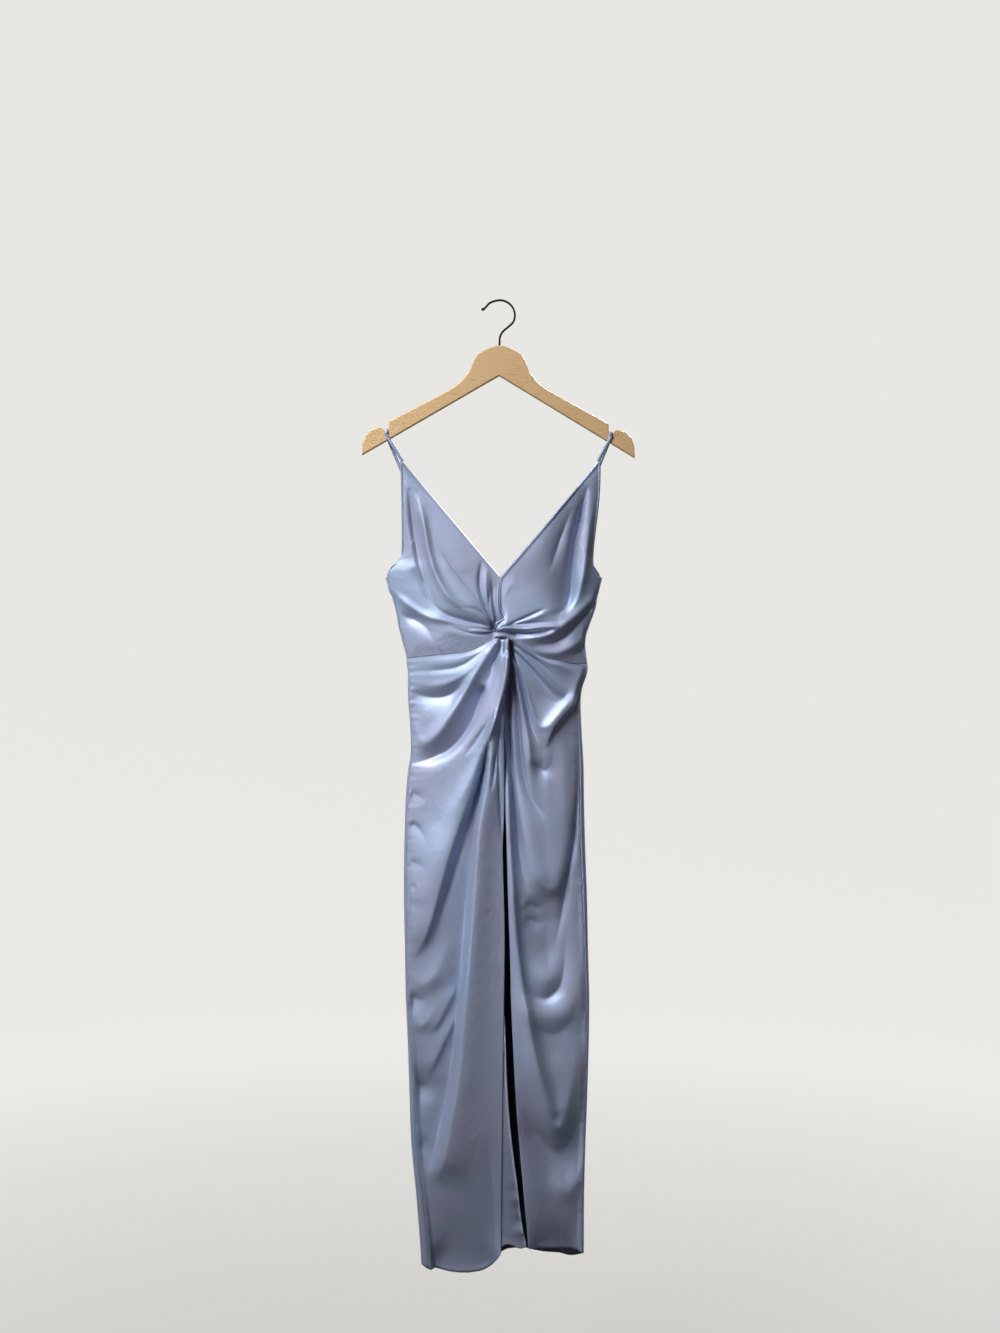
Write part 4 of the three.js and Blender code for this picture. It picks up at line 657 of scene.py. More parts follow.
# The skirt's top goes back under the knot between these heights
KNOT_UNDER = 0.007
KNOT_UNDER_FROM = -0.553
KNOT_UNDER_TO = -0.547
HEM_FOLD = 0.007
HEM_FOLD_EDGE = 0.001
HEM_ROLL = 0.0006
HEM_PUCKER = 0.0006
HEM_PUCKER_WAVES = (0.017, 0.0097, 0.031)
HEM_PUCKER_REACH = 0.014
SEAM_PUCKER = 0.0011
SEAM_PUCKER_WAVES = (0.021, 0.0113, 0.037)
LEFT_SKIRT_FOLDS = [
    ("waist roll", 0.002, (0.005, 0.011), (0.1, 0.5), EVEN,
     [(-0.01, -0.552), (-0.04, -0.575), (-0.073, -0.588), (-0.113, -0.591), (-0.146, -0.59)]),
    ("fine furrow one", -0.002, (0.003, 0.007), (0.2, 0.4), EVEN,
     [(-0.026, -0.569), (-0.057, -0.591), (-0.097, -0.601), (-0.144, -0.601)]),
    ("fine roll", 0.0015, (0.004, 0.009), (0.2, 0.4), EVEN,
     [(-0.029, -0.573), (-0.062, -0.601), (-0.1, -0.609), (-0.146, -0.609)]),
    ("shelf roll", 0.003, (0.004, 0.009), (0.1, 0.4), EVEN,
     [(-0.016, -0.562), (-0.047, -0.598), (-0.079, -0.62), (-0.113, -0.627), (-0.149, -0.62)]),
    ("shelf furrow", -0.009, (0.006, 0.010), (0.3, 0.4), (1.6, 1.3),
     [(-0.052, -0.612), (-0.071, -0.635), (-0.097, -0.645), (-0.128, -0.642), (-0.147, -0.632)]),
    ("great roll", 0.009, (0.006, 0.011), (0.06, 0.45), (1.2, 1),
     [(-0.002, -0.54), (-0.008, -0.555), (-0.016, -0.572), (-0.034, -0.598), (-0.057, -0.637),
      (-0.078, -0.671), (-0.1, -0.703), (-0.123, -0.718), (-0.141, -0.692), (-0.149, -0.65)]),
    ("gather pit", -0.005, (0.0016, 0.0035), (0.05, 0.8), EVEN,
     [(0.002, -0.546), (-0.003, -0.572), (-0.01, -0.591), (-0.019, -0.617), (-0.031, -0.645)]),
    ("band crease", -0.005, (0.0014, 0.002), (0.1, 0.4), EVEN,
     [(0.005, -0.546), (0.002, -0.56), (-0.004, -0.575), (-0.012, -0.59), (-0.018, -0.604)]),
    ("drop crease", -0.004, (0.0014, 0.0022), (0.1, 0.5), EVEN,
     [(0.009, -0.546), (0.008, -0.562), (0.007, -0.58), (0.003, -0.6)]),
    ("great furrow", -0.013, (0.004, 0.011), (0.12, 0.3), (0.6, 1.9),
     [(-0.023, -0.624), (-0.034, -0.653), (-0.049, -0.69), (-0.078, -0.727), (-0.113, -0.745),
      (-0.144, -0.753)]),
    ("second roll", 0.0055, (0.004, 0.015), (0.04, 0.7), (1.8, 0.8),
     [(0.007, -0.536), (0.004, -0.56), (0.002, -0.585), (-0.002, -0.609), (-0.016, -0.65),
      (-0.036, -0.693), (-0.065, -0.734), (-0.1, -0.758), (-0.143, -0.763)]),
    ("thin furrow", -0.0035, (0.0024, 0.0035), (0.2, 0.4), EVEN,
     [(0.005, -0.62), (-0.011, -0.669), (-0.036, -0.711), (-0.06, -0.742)]),
    ("edge roll", 0.006, (0.0035, 0.014), (0.04, 0.5), (1, 0.6),
     [(0.013, -0.54), (0.012, -0.56), (0.01, -0.585), (0.006, -0.62), (-0.01, -0.674), (-0.029, -0.731),
      (-0.052, -0.787), (-0.087, -0.841), (-0.121, -0.88)]),
    ("drape edge", 0.014, (0.012, 0.034), (0.03, 0.2), (0.22, 1),
     [(0.014, -0.572), (0.012, -0.611), (-0.003, -0.663), (-0.023, -0.723), (-0.04, -0.782),
      (-0.062, -0.841), (-0.081, -0.896), (-0.096, -0.951), (-0.11, -1.001), (-0.126, -1.042),
      (-0.151, -1.074)]),
    ("drape shadow", -0.006, (0.004, 0.009), (0.15, 0.3), (1, 0.6),
     [(-0.021, -0.734), (-0.036, -0.795), (-0.057, -0.868), (-0.076, -0.93), (-0.092, -0.978),
      (-0.11, -1.022)]),
    ("mid drape roll", 0.005, (0.020, 0.018), (0.3, 0.3), EVEN,
     [(-0.097, -0.844), (-0.113, -0.909), (-0.128, -0.957), (-0.144, -0.982)]),
    ("band roll", 0.015, (0.006, 0.013), (0.06, 0.12), (3.0, 0.85),
     [(-0.004, -0.66), (-0.012, -0.72), (-0.021, -0.793), (-0.033, -0.86), (-0.042, -0.983),
      (-0.051, -1.097), (-0.058, -1.176), (-0.065, -1.255), (-0.078, -1.334), (-0.089, -1.393),
      (-0.105, -1.437)]),
    ("band furrow", -0.013, (0.005, 0.012), (0.15, 0.25), (0.5, 3.4),
     [(-0.014, -0.68), (-0.022, -0.73), (-0.033, -0.8), (-0.046, -0.865), (-0.055, -0.983),
      (-0.065, -1.097), (-0.073, -1.176), (-0.081, -1.255), (-0.096, -1.334), (-0.11, -1.393),
      (-0.126, -1.43)]),
    ("slit furrow", -0.005, (0.0022, 0.0022), (0.2, 0.3), EVEN,
     [(0, -0.669), (-0.002, -0.747), (0, -0.812), (0.004, -0.88)]),
    ("blade furrow", -0.005, (0.002, 0.003), (0.3, 0.6), EVEN,
     [(-0.005, -0.718), (-0.01, -0.77), (-0.015, -0.799)]),
    ("lower shelf", 0.005, (0.011, 0.014), (0.5, 0.5), EVEN,
     [(-0.149, -1.095), (-0.121, -1.11), (-0.096, -1.081), (-0.078, -1.022)]),
    ("diagonal one", 0.0045, (0.008, 0.013), (0.35, 0.3), (0.35, 1.2),
     [(-0.068, -1.105), (-0.08, -1.135), (-0.098, -1.168), (-0.116, -1.192)]),
    ("diagonal two", 0.005, (0.008, 0.014), (0.35, 0.3), (0.35, 1.2),
     [(-0.07, -1.155), (-0.084, -1.19), (-0.103, -1.23), (-0.122, -1.268)]),
    ("cross roll", 0.0025, (0.008, 0.008), (0.3, 0.5), EVEN,
     [(-0.146, -1.149), (-0.128, -1.178), (-0.107, -1.152), (-0.091, -1.119)]),
    ("side hollow", -0.006, (0.026, 0.018), (0.1, 0.6), (1.4, 0.6),
     [(-0.15, -1.285), (-0.122, -1.283), (-0.09, -1.268)]),
    ("hem bell", -0.004, (0.016, 0.016), (0.4, 0.1), EVEN,
     [(-0.023, -1.346), (-0.013, -1.443), (-0.005, -1.64)]),
    ("hem hollow", -0.022, (0.065, 0.06), (0.3, 0.3), EVEN,
     [(-0.13, -1.555), (-0.06, -1.57), (0.01, -1.56)]),
    ("tuck one", -0.0035, (0.004, 0.005), (0.2, 0.6), (0.9, 2.6),
     [(-0.146, -0.799), (-0.133, -0.805), (-0.118, -0.815)]),
    ("tuck two", -0.0035, (0.004, 0.005), (0.2, 0.6), (0.9, 2.6),
     [(-0.146, -0.849), (-0.131, -0.859), (-0.118, -0.88)]),
    ("tuck three", -0.0035, (0.004, 0.005), (0.2, 0.6), (0.9, 2.6),
     [(-0.147, -0.912), (-0.133, -0.915), (-0.117, -0.925)]),
    ("tuck four", -0.0035, (0.004, 0.005), (0.2, 0.6), (0.9, 2.6),
     [(-0.147, -0.951), (-0.133, -0.953)]),
    ("tuck five", -0.006, (0.006, 0.007), (0.2, 0.6), (0.9, 2.2),
     [(-0.149, -1.131), (-0.134, -1.137), (-0.115, -1.14)]),
    ("tuck six", -0.004, (0.006, 0.007), (0.2, 0.6), (0.9, 2.2),
     [(-0.146, -1.281), (-0.128, -1.278), (-0.104, -1.275)]),
    ("tuck seven", -0.006, (0.006, 0.007), (0.2, 0.6), (0.9, 2.2),
     [(-0.144, -1.374), (-0.131, -1.375), (-0.113, -1.364)]),
]
RIGHT_SKIRT_FOLDS = [
    ("slit roll", 0.011, (0.008, 0.013), (0.15, 0.3), (0.8, 1.0),
     [(0.013, -0.7), (0.014, -0.8), (0.016, -0.885), (0.023, -1.008), (0.033, -1.082), (0.046, -1.166),
      (0.06, -1.235), (0.077, -1.294), (0.092, -1.334)]),
    ("deep furrow", -0.015, (0.0035, 0.009), (0.05, 0.4), (1.6, 0.8),
     [(0.014, -0.558), (0.015, -0.6), (0.015, -0.706), (0.021, -0.795), (0.028, -0.868), (0.036, -0.925),
      (0.049, -0.97)]),
    ("first swag", 0.007, (0.004, 0.022), (0.08, 0.4), (2.2, 0.8),
     [(0.018, -0.604), (0.021, -0.698), (0.028, -0.787), (0.041, -0.868), (0.06, -0.932),
      (0.084, -0.954), (0.105, -0.922), (0.118, -0.86), (0.125, -0.787), (0.126, -0.706)]),
    ("blue furrow", -0.014, (0.003, 0.008), (0.1, 0.6), (0.5, 2.0),
     [(0.018, -0.591), (0.028, -0.658), (0.034, -0.731), (0.044, -0.791), (0.062, -0.825),
      (0.079, -0.839)]),
    ("leaf roll", 0.005, (0.003, 0.008), (0.1, 0.4), EVEN,
     [(0.021, -0.585), (0.034, -0.65), (0.045, -0.706), (0.05, -0.755), (0.058, -0.795)]),
    ("gather one", -0.010, (0.002, 0.005), (0.05, 0.4), (0.6, 1.5),
     [(0.013, -0.552), (0.02, -0.575), (0.034, -0.614), (0.044, -0.658), (0.053, -0.695), (0.065, -0.723)]),
    ("hip roll", 0.003, (0.003, 0.008), (0.1, 0.3), EVEN,
     [(0.021, -0.569), (0.037, -0.617), (0.049, -0.659), (0.062, -0.689), (0.078, -0.69),
      (0.099, -0.667), (0.12, -0.643), (0.136, -0.614)]),
    ("gather two", -0.0075, (0.002, 0.005), (0.05, 0.5), (0.7, 1.4),
     [(0.014, -0.551), (0.025, -0.572), (0.049, -0.598), (0.078, -0.632), (0.097, -0.653)]),
    ("fine roll one", 0.004, (0.0022, 0.004), (0.08, 0.3), EVEN,
     [(0.021, -0.561), (0.05, -0.59), (0.084, -0.624), (0.11, -0.65)]),
    ("gather three", -0.0075, (0.002, 0.005), (0.05, 0.5), (0.7, 1.4),
     [(0.015, -0.551), (0.028, -0.563), (0.053, -0.58), (0.079, -0.603), (0.102, -0.63)]),
    ("fine roll two", 0.004, (0.0025, 0.007), (0.08, 0.3), EVEN,
     [(0.024, -0.554), (0.057, -0.572), (0.091, -0.591), (0.13, -0.611)]),
    ("hip furrow", -0.003, (0.008, 0.009), (0.3, 0.3), EVEN,
     [(0.049, -0.617), (0.073, -0.645), (0.097, -0.65), (0.117, -0.627)]),
    ("hip edge", 0.009, (0.016, 0.012), (0.1, 0.4), (0.25, 1),
     [(0.144, -0.598), (0.136, -0.624), (0.122, -0.651), (0.1, -0.677), (0.086, -0.695), (0.078, -0.714),
      (0.074, -0.73)]),
    ("pocket", -0.008, (0.004, 0.008), (0.4, 0.7), (2.0, 1.6),
     [(0.046, -0.746), (0.058, -0.757), (0.072, -0.764), (0.084, -0.752), (0.087, -0.725)]),
    ("side plateau", 0.003, (0.015, 0.015), (0.3, 0.4), EVEN,
     [(0.102, -0.706), (0.107, -0.795), (0.102, -0.876)]),
    ("side crease", -0.012, (0.0035, 0.008), (0.2, 0.5), (1, 1),
     [(0.13, -0.771), (0.125, -0.844), (0.117, -0.897), (0.107, -0.954), (0.099, -1.006),
      (0.086, -1.063)]),
    ("ripple one", -0.004, (0.005, 0.006), (0.35, 0.5), (1.0, 2.4),
     [(0.039, -0.978), (0.057, -0.985), (0.075, -0.99)]),
    ("ripple two", -0.004, (0.005, 0.006), (0.35, 0.5), (1.0, 2.4),
     [(0.039, -1.003), (0.057, -1.009), (0.073, -1.017)]),
    ("great hollow", -0.010, (0.008, 0.010), (0.35, 0.35), (1.6, 1.0),
     [(0.031, -0.957), (0.034, -1.03), (0.04, -1.095), (0.05, -1.124), (0.068, -1.135), (0.086, -1.129),
      (0.1, -1.108), (0.106, -1.06), (0.107, -1.01)]),
    ("hollow floor", -0.014, (0.026, 0.026), (0.5, 0.35), EVEN,
     [(0.07, -0.93), (0.076, -1.02), (0.078, -1.105)]),
    ("second swag", 0.0045, (0.013, 0.018), (0.35, 0.4), (0.9, 1.2),
     [(0.029, -1.085), (0.042, -1.132), (0.058, -1.152), (0.084, -1.163), (0.108, -1.153), (0.122, -1.132),
      (0.13, -1.08), (0.134, -1.01)]),
    ("third hollow", -0.006, (0.014, 0.016), (0.4, 0.4), (1.2, 1.6),
     [(0.044, -1.15), (0.058, -1.178), (0.078, -1.192), (0.1, -1.187), (0.118, -1.165), (0.131, -1.115)]),
    ("third swag", 0.009, (0.014, 0.016), (0.25, 0.35), (1.2, 0.9),
     [(0.028, -1.11), (0.041, -1.185), (0.058, -1.25), (0.076, -1.306), (0.088, -1.334), (0.099, -1.332),
      (0.109, -1.3), (0.121, -1.245), (0.133, -1.175)]),
    ("swag floor", 0.004, (0.02, 0.02), (0.4, 0.2), EVEN,
     [(0.086, -1.215), (0.092, -1.27), (0.094, -1.325)]),
    ("fourth hollow", -0.012, (0.014, 0.019), (0.3, 0.35), (0.8, 2.0),
     [(0.023, -1.265), (0.044, -1.326), (0.062, -1.362), (0.084, -1.384), (0.104, -1.384), (0.124, -1.354),
      (0.139, -1.3)]),
    ("last swag", 0.005, (0.012, 0.012), (0.35, 0.35), EVEN,
     [(0.082, -1.408), (0.098, -1.438), (0.113, -1.445), (0.127, -1.425), (0.139, -1.392)]),
    ("last hollow", -0.015, (0.032, 0.032), (0.2, 0.3), EVEN,
     [(0.04, -1.535), (0.084, -1.543), (0.112, -1.545), (0.138, -1.538)]),
    ("hem bell", 0.0025, (0.018, 0.018), (0.3, 0.1), EVEN,
     [(0.081, -1.46), (0.095, -1.64)]),
]


def left_slit(z):
    return read(LEFT_SLIT, 1, z)


def right_slit(z):
    return read(RIGHT_SLIT, 1, z)


def gathered(x):
    return np.exp(-((x - KNOT_X) / KNOT_WIDE) ** 2)


def left_skirt_depth(x, z):
    held = np.maximum(freed(left_waist(x) - z), gathered(x)) * freed(x - left_seam(z))
    under = KNOT_UNDER * gathered(x) * smooth_step(z, KNOT_UNDER_FROM, KNOT_UNDER_TO)
    return front_depth(x, z) - under + held * folded(LEFT_SKIRT_FOLDS, x, z)


def right_skirt_depth(x, z):
    held = np.maximum(freed(right_waist(x) - z), gathered(x)) * freed(right_seam(z) - x)
    near = 1 - smooth_step(x - right_slit(z), 0, read(TUCK, 2, z))
    return front_depth(x, z) - read(TUCK, 1, z) * near + held * folded(RIGHT_SKIRT_FOLDS, x, z)


def skirt_rows(side_x, slit_x, waist, hem, down, across):
    """Height at each share down the lines from the waist to the hem, closer together near the waist."""

    def line_x(z):
        return blend(side_x(z), slit_x(z), across)

    start = np.full(np.shape(across), SLIT_TOP_Z)
    top = meeting(line_x, lambda x: waist(x) - CURVED_SEAM_GAP, start)
    foot = meeting(line_x, hem, start)
    z = blend(top, foot, down ** SKIRT_CROWDING)
    return line_x(z), z, foot


def front_skirt(down, across, side_x, slit_x, waist, hem, depth):
    """Lines from the waist to the hem, spread evenly from the side seam to the slit edge, at the skirt's
    depth, with a rolled hem and small puckers along the seam and the hem."""
    x, z, foot = skirt_rows(side_x, slit_x, waist, hem, down, across)
    above_hem = z - foot
    hem_roll = HEM_ROLL * smooth_step(HEM_FOLD - above_hem, 0, HEM_FOLD_EDGE)
    hem_pucker = HEM_PUCKER * uneven(x, HEM_PUCKER_WAVES, (0.2, 0.7, 0.1))
    hem_pucker = hem_pucker * np.exp(-(above_hem / HEM_PUCKER_REACH))
    from_seam = np.abs(x - side_x(z))
    pucker = SEAM_PUCKER * uneven(z, SEAM_PUCKER_WAVES, (0.5, 0.2, 0.9))
    pucker = pucker * np.exp(-(from_seam / PUCKER_REACH))
    return np.stack((x, -(depth(x, z) + hem_roll + hem_pucker + pucker), z), axis=-1)


def left_hem(x):
    return read(LEFT_HEM, 1, x)


def right_hem(x):
    return read(RIGHT_HEM, 1, x)


down, across = shares(330, 126)
left_points = front_skirt(down, across, left_seam, left_slit, left_waist, left_hem, left_skirt_depth)
left_skirt = cloth("left_skirt", left_points, -1, "front_skirt_left")
right_points = front_skirt(down, across, right_seam, right_slit, right_waist, right_hem, right_skirt_depth)
right_skirt = cloth("right_skirt", right_points, -1, "front_skirt_right")

# The back bodice is one straight piece between the side seams, which sags a little between the straps. The
# back skirt hangs in soft flutes, dragged aslant at the sides, and both turn round to the front there.
BACK_TOP_SAG = 0.007
BACK_HEM = np.array([
    # x, z
    (-0.132, -1.567), (-0.060, -1.572), (0.0, -1.559), (0.015, -1.551), (0.044, -1.548), (0.073, -1.555),
    (0.113, -1.5615), (0.138, -1.558)])
HEM_BEND = 4
SIDE_TURN = 0.055
BACK_FOLDS = [
    ("left flute", 0.008, (0.010, 0.017), (0.25, 0.1), (1, 0.7),
     [(-0.095, -0.6), (-0.102, -0.76), (-0.098, -0.95), (-0.088, -1.25), (-0.084, -1.68)]),
    ("left hollow", -0.007, (0.008, 0.015), (0.25, 0.1), (1, 1.3),
     [(-0.066, -0.6), (-0.07, -0.8), (-0.062, -1.0), (-0.052, -1.3), (-0.046, -1.68)]),
    ("middle flute", 0.007, (0.008, 0.017), (0.25, 0.1), (0.7, 1.2),
     [(-0.034, -0.6), (-0.022, -0.8), (-0.014, -1.02), (0.0, -1.3), (0.004, -1.68)]),
    ("right hollow", -0.006, (0.008, 0.014), (0.3, 0.1), (1.2, 0.9),
     [(0.022, -0.6), (0.034, -0.84), (0.042, -1.1), (0.05, -1.35), (0.056, -1.68)]),
    ("right flute", 0.008, (0.009, 0.015), (0.3, 0.1), (0.8, 1.1),
     [(0.07, -0.62), (0.084, -0.82), (0.088, -1.06), (0.094, -1.3), (0.1, -1.68)]),
    ("left seat roll", 0.005, (0.006, 0.013), (0.3, 0.5), (1, 0.7),
     [(-0.146, -0.632), (-0.118, -0.668), (-0.078, -0.694), (-0.03, -0.702)]),
    ("left seat furrow", -0.007, (0.005, 0.011), (0.3, 0.5), (0.7, 1.6),
     [(-0.146, -0.662), (-0.122, -0.702), (-0.084, -0.734), (-0.034, -0.75)]),
    ("left long drape", -0.006, (0.005, 0.012), (0.3, 0.5), (0.7, 1.7),
     [(-0.145, -0.742), (-0.122, -0.802), (-0.088, -0.86), (-0.044, -0.905)]),
    ("left knee drag", -0.005, (0.005, 0.011), (0.3, 0.5), (0.7, 1.6),
     [(-0.15, -1.02), (-0.126, -1.072), (-0.096, -1.14), (-0.074, -1.2)]),
    ("left low drag", -0.004, (0.005, 0.009), (0.3, 0.6), (0.8, 1.6),
     [(-0.142, -1.24), (-0.12, -1.27), (-0.094, -1.33)]),
    ("right seat roll", 0.005, (0.006, 0.013), (0.3, 0.5), (0.7, 1),
     [(0.13, -0.66), (0.106, -0.7), (0.066, -0.722), (0.02, -0.724)]),
    ("right seat furrow", -0.006, (0.005, 0.011), (0.3, 0.5), (1.6, 0.7),
     [(0.13, -0.7), (0.108, -0.746), (0.072, -0.774), (0.024, -0.784)]),
    ("right long drape", -0.006, (0.005, 0.012), (0.3, 0.5), (1.7, 0.7),
     [(0.134, -0.84), (0.112, -0.902), (0.078, -0.95), (0.036, -0.978)]),
    ("right knee drag", -0.005, (0.005, 0.011), (0.3, 0.5), (1.6, 0.7),
     [(0.14, -1.1), (0.118, -1.156), (0.088, -1.2), (0.062, -1.222)]),
    ("right low drag", -0.004, (0.005, 0.009), (0.3, 0.6), (1.6, 0.8),
     [(0.136, -1.34), (0.112, -1.37), (0.086, -1.43)]),
    ("bodice left pull", 0.0035, (0.006, 0.01), (0.1, 0.4), (1, 0.7),
     [(-0.088, -0.452), (-0.093, -0.5), (-0.112, -0.56)]),
    ("bodice right pull", 0.0035, (0.006, 0.01), (0.1, 0.4), (0.7, 1),
     [(0.086, -0.452), (0.091, -0.5), (0.108, -0.562)]),
    ("bodice slack", -0.0045, (0.006, 0.008), (0.35, 0.35), (0.8, 1.5),
     [(-0.096, -0.498), (-0.034, -0.524), (0.028, -0.528), (0.09, -0.504)]),
    ("bodice left crease", -0.004, (0.004, 0.006), (0.25, 0.5), (0.8, 1.5),
     [(-0.168, -0.51), (-0.138, -0.532), (-0.098, -0.544)]),
    ("bodice right crease", -0.004, (0.004, 0.006), (0.25, 0.5), (1.5, 0.8),
     [(0.15, -0.492), (0.126, -0.522), (0.084, -0.54)]),
]


def back_places(left_z, right_z, across):
    """Half an ellipse round the left side, flat across, and half an ellipse round the right side. Gives x,
    depth and the share of the flat."""
    middle = (SIDE_DEPTH + BACK_DEPTH) / 2
    deep = (SIDE_DEPTH - BACK_DEPTH) / 2
    left_x, right_x = left_seam(left_z) - SEAM_GAP, right_seam(right_z) + SEAM_GAP
    left_wide = read(SEAM_INSET, 1, left_z) - SEAM_GAP
    right_wide = read(SEAM_INSET, 2, right_z) - SEAM_GAP
    flat = np.clip((across - SIDE_TURN) / (1 - 2 * SIDE_TURN), 0, 1)
    left_turn = np.pi * (np.clip(across / SIDE_TURN, 0, 1) - 0.5)
    right_turn = np.pi * (np.clip((across - 1 + SIDE_TURN) / SIDE_TURN, 0, 1) - 0.5)
    x = blend(left_x, right_x, flat) - left_wide * np.cos(left_turn) + right_wide * np.cos(right_turn)
    depth = middle - deep * np.sin(left_turn) + deep * (1 + np.sin(right_turn))
    return x, depth, flat


def back_top(x):
    half = (right_seam(UNDERARM_Z) - left_seam(UNDERARM_Z)) / 2
    return UNDERARM_Z - BACK_TOP_SAG * np.maximum(0, 1 - (x / half) ** 2)


def back(left_z, right_z, across, bend):
    """Round the sides and flat across at the heights of the two side seams, bent up or down between them,
    with the back's folds."""
    x, depth, flat = back_places(left_z, right_z, across)
    z = blend(left_z, right_z, flat) + bend
    from_side = np.minimum(x - left_seam(left_z), right_seam(right_z) - x)
    return np.stack((x, freed(from_side) * folded(BACK_FOLDS, x, z) - depth, z), axis=-1)


down, across = shares(90, 150)
left_foot = meeting(left_seam, left_waist, np.float64(UNDERARM_Z))
right_foot = meeting(right_seam, right_waist, np.float64(UNDERARM_Z))
top_x = back_places(UNDERARM_Z, UNDERARM_Z, across)[0]
sag = (back_top(top_x) - UNDERARM_Z) * (1 - down)
bodice_points = back(blend(UNDERARM_Z, left_foot, down), blend(UNDERARM_Z, right_foot, down), across, sag)
back_bodice = cloth("back_bodice_cloth", bodice_points, 1,
                    "back_bodice")

down, across = shares(250, 176)
left_z = skirt_rows(left_seam, left_slit, left_waist, left_hem, down, np.zeros_like(down))[1]
right_z = skirt_rows(right_seam, right_slit, right_waist, right_hem, down, np.zeros_like(down))[1]
hem_x, hem_depth, hem_flat = back_places(left_z[-1:], right_z[-1:], across[-1:])
behind = (SIDE_DEPTH - hem_depth) / (SIDE_DEPTH - BACK_DEPTH)
front_hem = np.where(hem_x < 0, left_hem(hem_x), right_hem(hem_x))
to_hem = blend(front_hem, read(BACK_HEM, 1, hem_x), behind) - blend(left_z[-1:], right_z[-1:], hem_flat)
skirt_points = back(left_z, right_z, across, to_hem * down ** HEM_BEND)
back_skirt = cloth("back_skirt_cloth", skirt_points, 1,
                   "back_skirt")

# The slit facing is a strip of the same satin behind the edge of the left skirt, and it shows past that edge
# in the lower half, turned back a little. Its free edge is overlocked with a paler thread.
FACING_TOP_Z = -1.160
FACING_HEM_Z = -1.538
FACING_HIDDEN = 0.016
FACING_BEHIND = 0.0008
FACING_SHOWN = 0.045
FACING_TURN = 0.009
FACING_UNEVEN = 0.6
FACING_WAVES = (0.045, 0.083, 0.027)
FACING_WAVE = 0.004
FACING_FOOT = 0.94
FACING_EDGE = np.array([
    # z, x
    (-1.160, 0.0075), (-1.216, 0.0095), (-1.297, 0.013), (-1.378, 0.0205), (-1.443, 0.029),
    (-1.508, 0.037), (-1.540, 0.0435)])
OVERLOCK_STEP = 0.0028
OVERLOCK_WIDE = 0.0034
THREAD_RADIUS = 0.0004


def facing_place(x, z):
    """How far a place is past the slit edge, as a share, and its depth: just behind the left skirt's cloth,
    less a turn back by the square of that share, uneven down the strip."""
    shown = np.clip((x - left_slit(z)) / FACING_SHOWN, 0, 1)
    turned = FACING_TURN * shown ** 2 * (1 + FACING_UNEVEN * uneven(z, FACING_WAVES, (0.3, 0.1, 0.8)))
    return shown, left_skirt_depth(np.minimum(x, left_slit(z)), z) - WALL - FACING_BEHIND - turned


def facing(down, across):
    """Strip from under the left skirt's slit edge to its own free edge, with one wave along its foot."""
    z = blend(FACING_TOP_Z, FACING_HEM_Z, down)
    x = blend(left_slit(z) - FACING_HIDDEN, read(FACING_EDGE, 1, z), across)
    shown, depth = facing_place(x, z)
    foot = FACING_WAVE * np.sin(2 * np.pi * shown) * smooth_step(down, FACING_FOOT, 1)
    return np.stack((x, -depth, z + foot), axis=-1)


down, across = shares(200, 30)
slit_facing = cloth("slit_facing_cloth", facing(down, across), -1,
                    "slit_facing")


def tube(name, line, across_way, half_sizes, sides):
    """Tube along a line: at each of its points a ring, wide along across_way and thick across it, in the two
    half sizes given."""
    along = np.gradient(line, axis=0)
    along /= np.linalg.norm(along, axis=1, keepdims=True)
    wide = across_way - along * (along @ across_way)[:, None]
    wide /= np.linalg.norm(wide, axis=1, keepdims=True)
    thick = np.cross(along, wide)
    turn = 2 * np.pi * np.arange(sides) / sides
    half_sizes = np.broadcast_to(half_sizes, (len(line), 2))
    rings = (line[:, None] + wide[:, None] * (half_sizes[:, :1] * np.cos(turn))[..., None]
             + thick[:, None] * (half_sizes[:, 1:] * np.sin(turn))[..., None])
    return shell(name, rings, closed_round=True)


stitch = np.arange(int((FACING_TOP_Z - FACING_HEM_Z) / OVERLOCK_STEP) * 2)
stitch_z = FACING_TOP_Z - (stitch + 1) * OVERLOCK_STEP / 2
stitch_x = read(FACING_EDGE, 1, stitch_z) - OVERLOCK_WIDE * (stitch % 2)
stitch_depth = facing_place(stitch_x, stitch_z)[1]
zigzag = smooth_line(np.stack((stitch_x, -stitch_depth - THREAD_RADIUS, stitch_z), axis=-1), len(stitch) * 4)
overlock = tube("overlock_thread", zigzag, np.array((0.0, 1.0, 0.0)), (THREAD_RADIUS, THREAD_RADIUS), 6)
thread = bpy.data.materials.new("thread")
thread.use_nodes = True
strand = thread.node_tree.nodes["Principled BSDF"]
twist_lines = add_node(thread, "TexWave", {
    "Vector": add_node(thread, "TexCoord").outputs["Object"], "Scale": 900.0, "Distortion": 1.0})
ply = add_node(thread, "Mix", {"Factor": twist_lines.outputs["Fac"], 6: (0.58, 0.64, 0.80, 1.0),
                               7: (0.46, 0.51, 0.68, 1.0)}, data_type="RGBA")
thread.node_tree.links.new(ply.outputs[2], strand.inputs["Base Color"])
strand.inputs["Roughness"].default_value = 0.6
overlock.data.materials.append(thread)
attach(overlock, "root")

# Each strap is a narrow folded strip of the satin, sewn into the point of its cup. It goes up over the
# hanger in its notch and down behind to the top of the back bodice.
HANGER_TILT = np.radians(0.6)
WOOD_THICK = 0.012
NOTCH_X = 0.182
NOTCH_Z = -0.2125
STRAP_WIDE = 0.0048
STRAP_THICK = 0.0016
STRAP_BACK_X = 0.087
STRAP_RISE = 0.0045
STRAP_STRAIGHT = 0.009
STRAP_CORNER = 0.003
STRAP_BOW = 0.0005
STRAP_CLOTH = 0.0003
STRAP_SIDES = 16


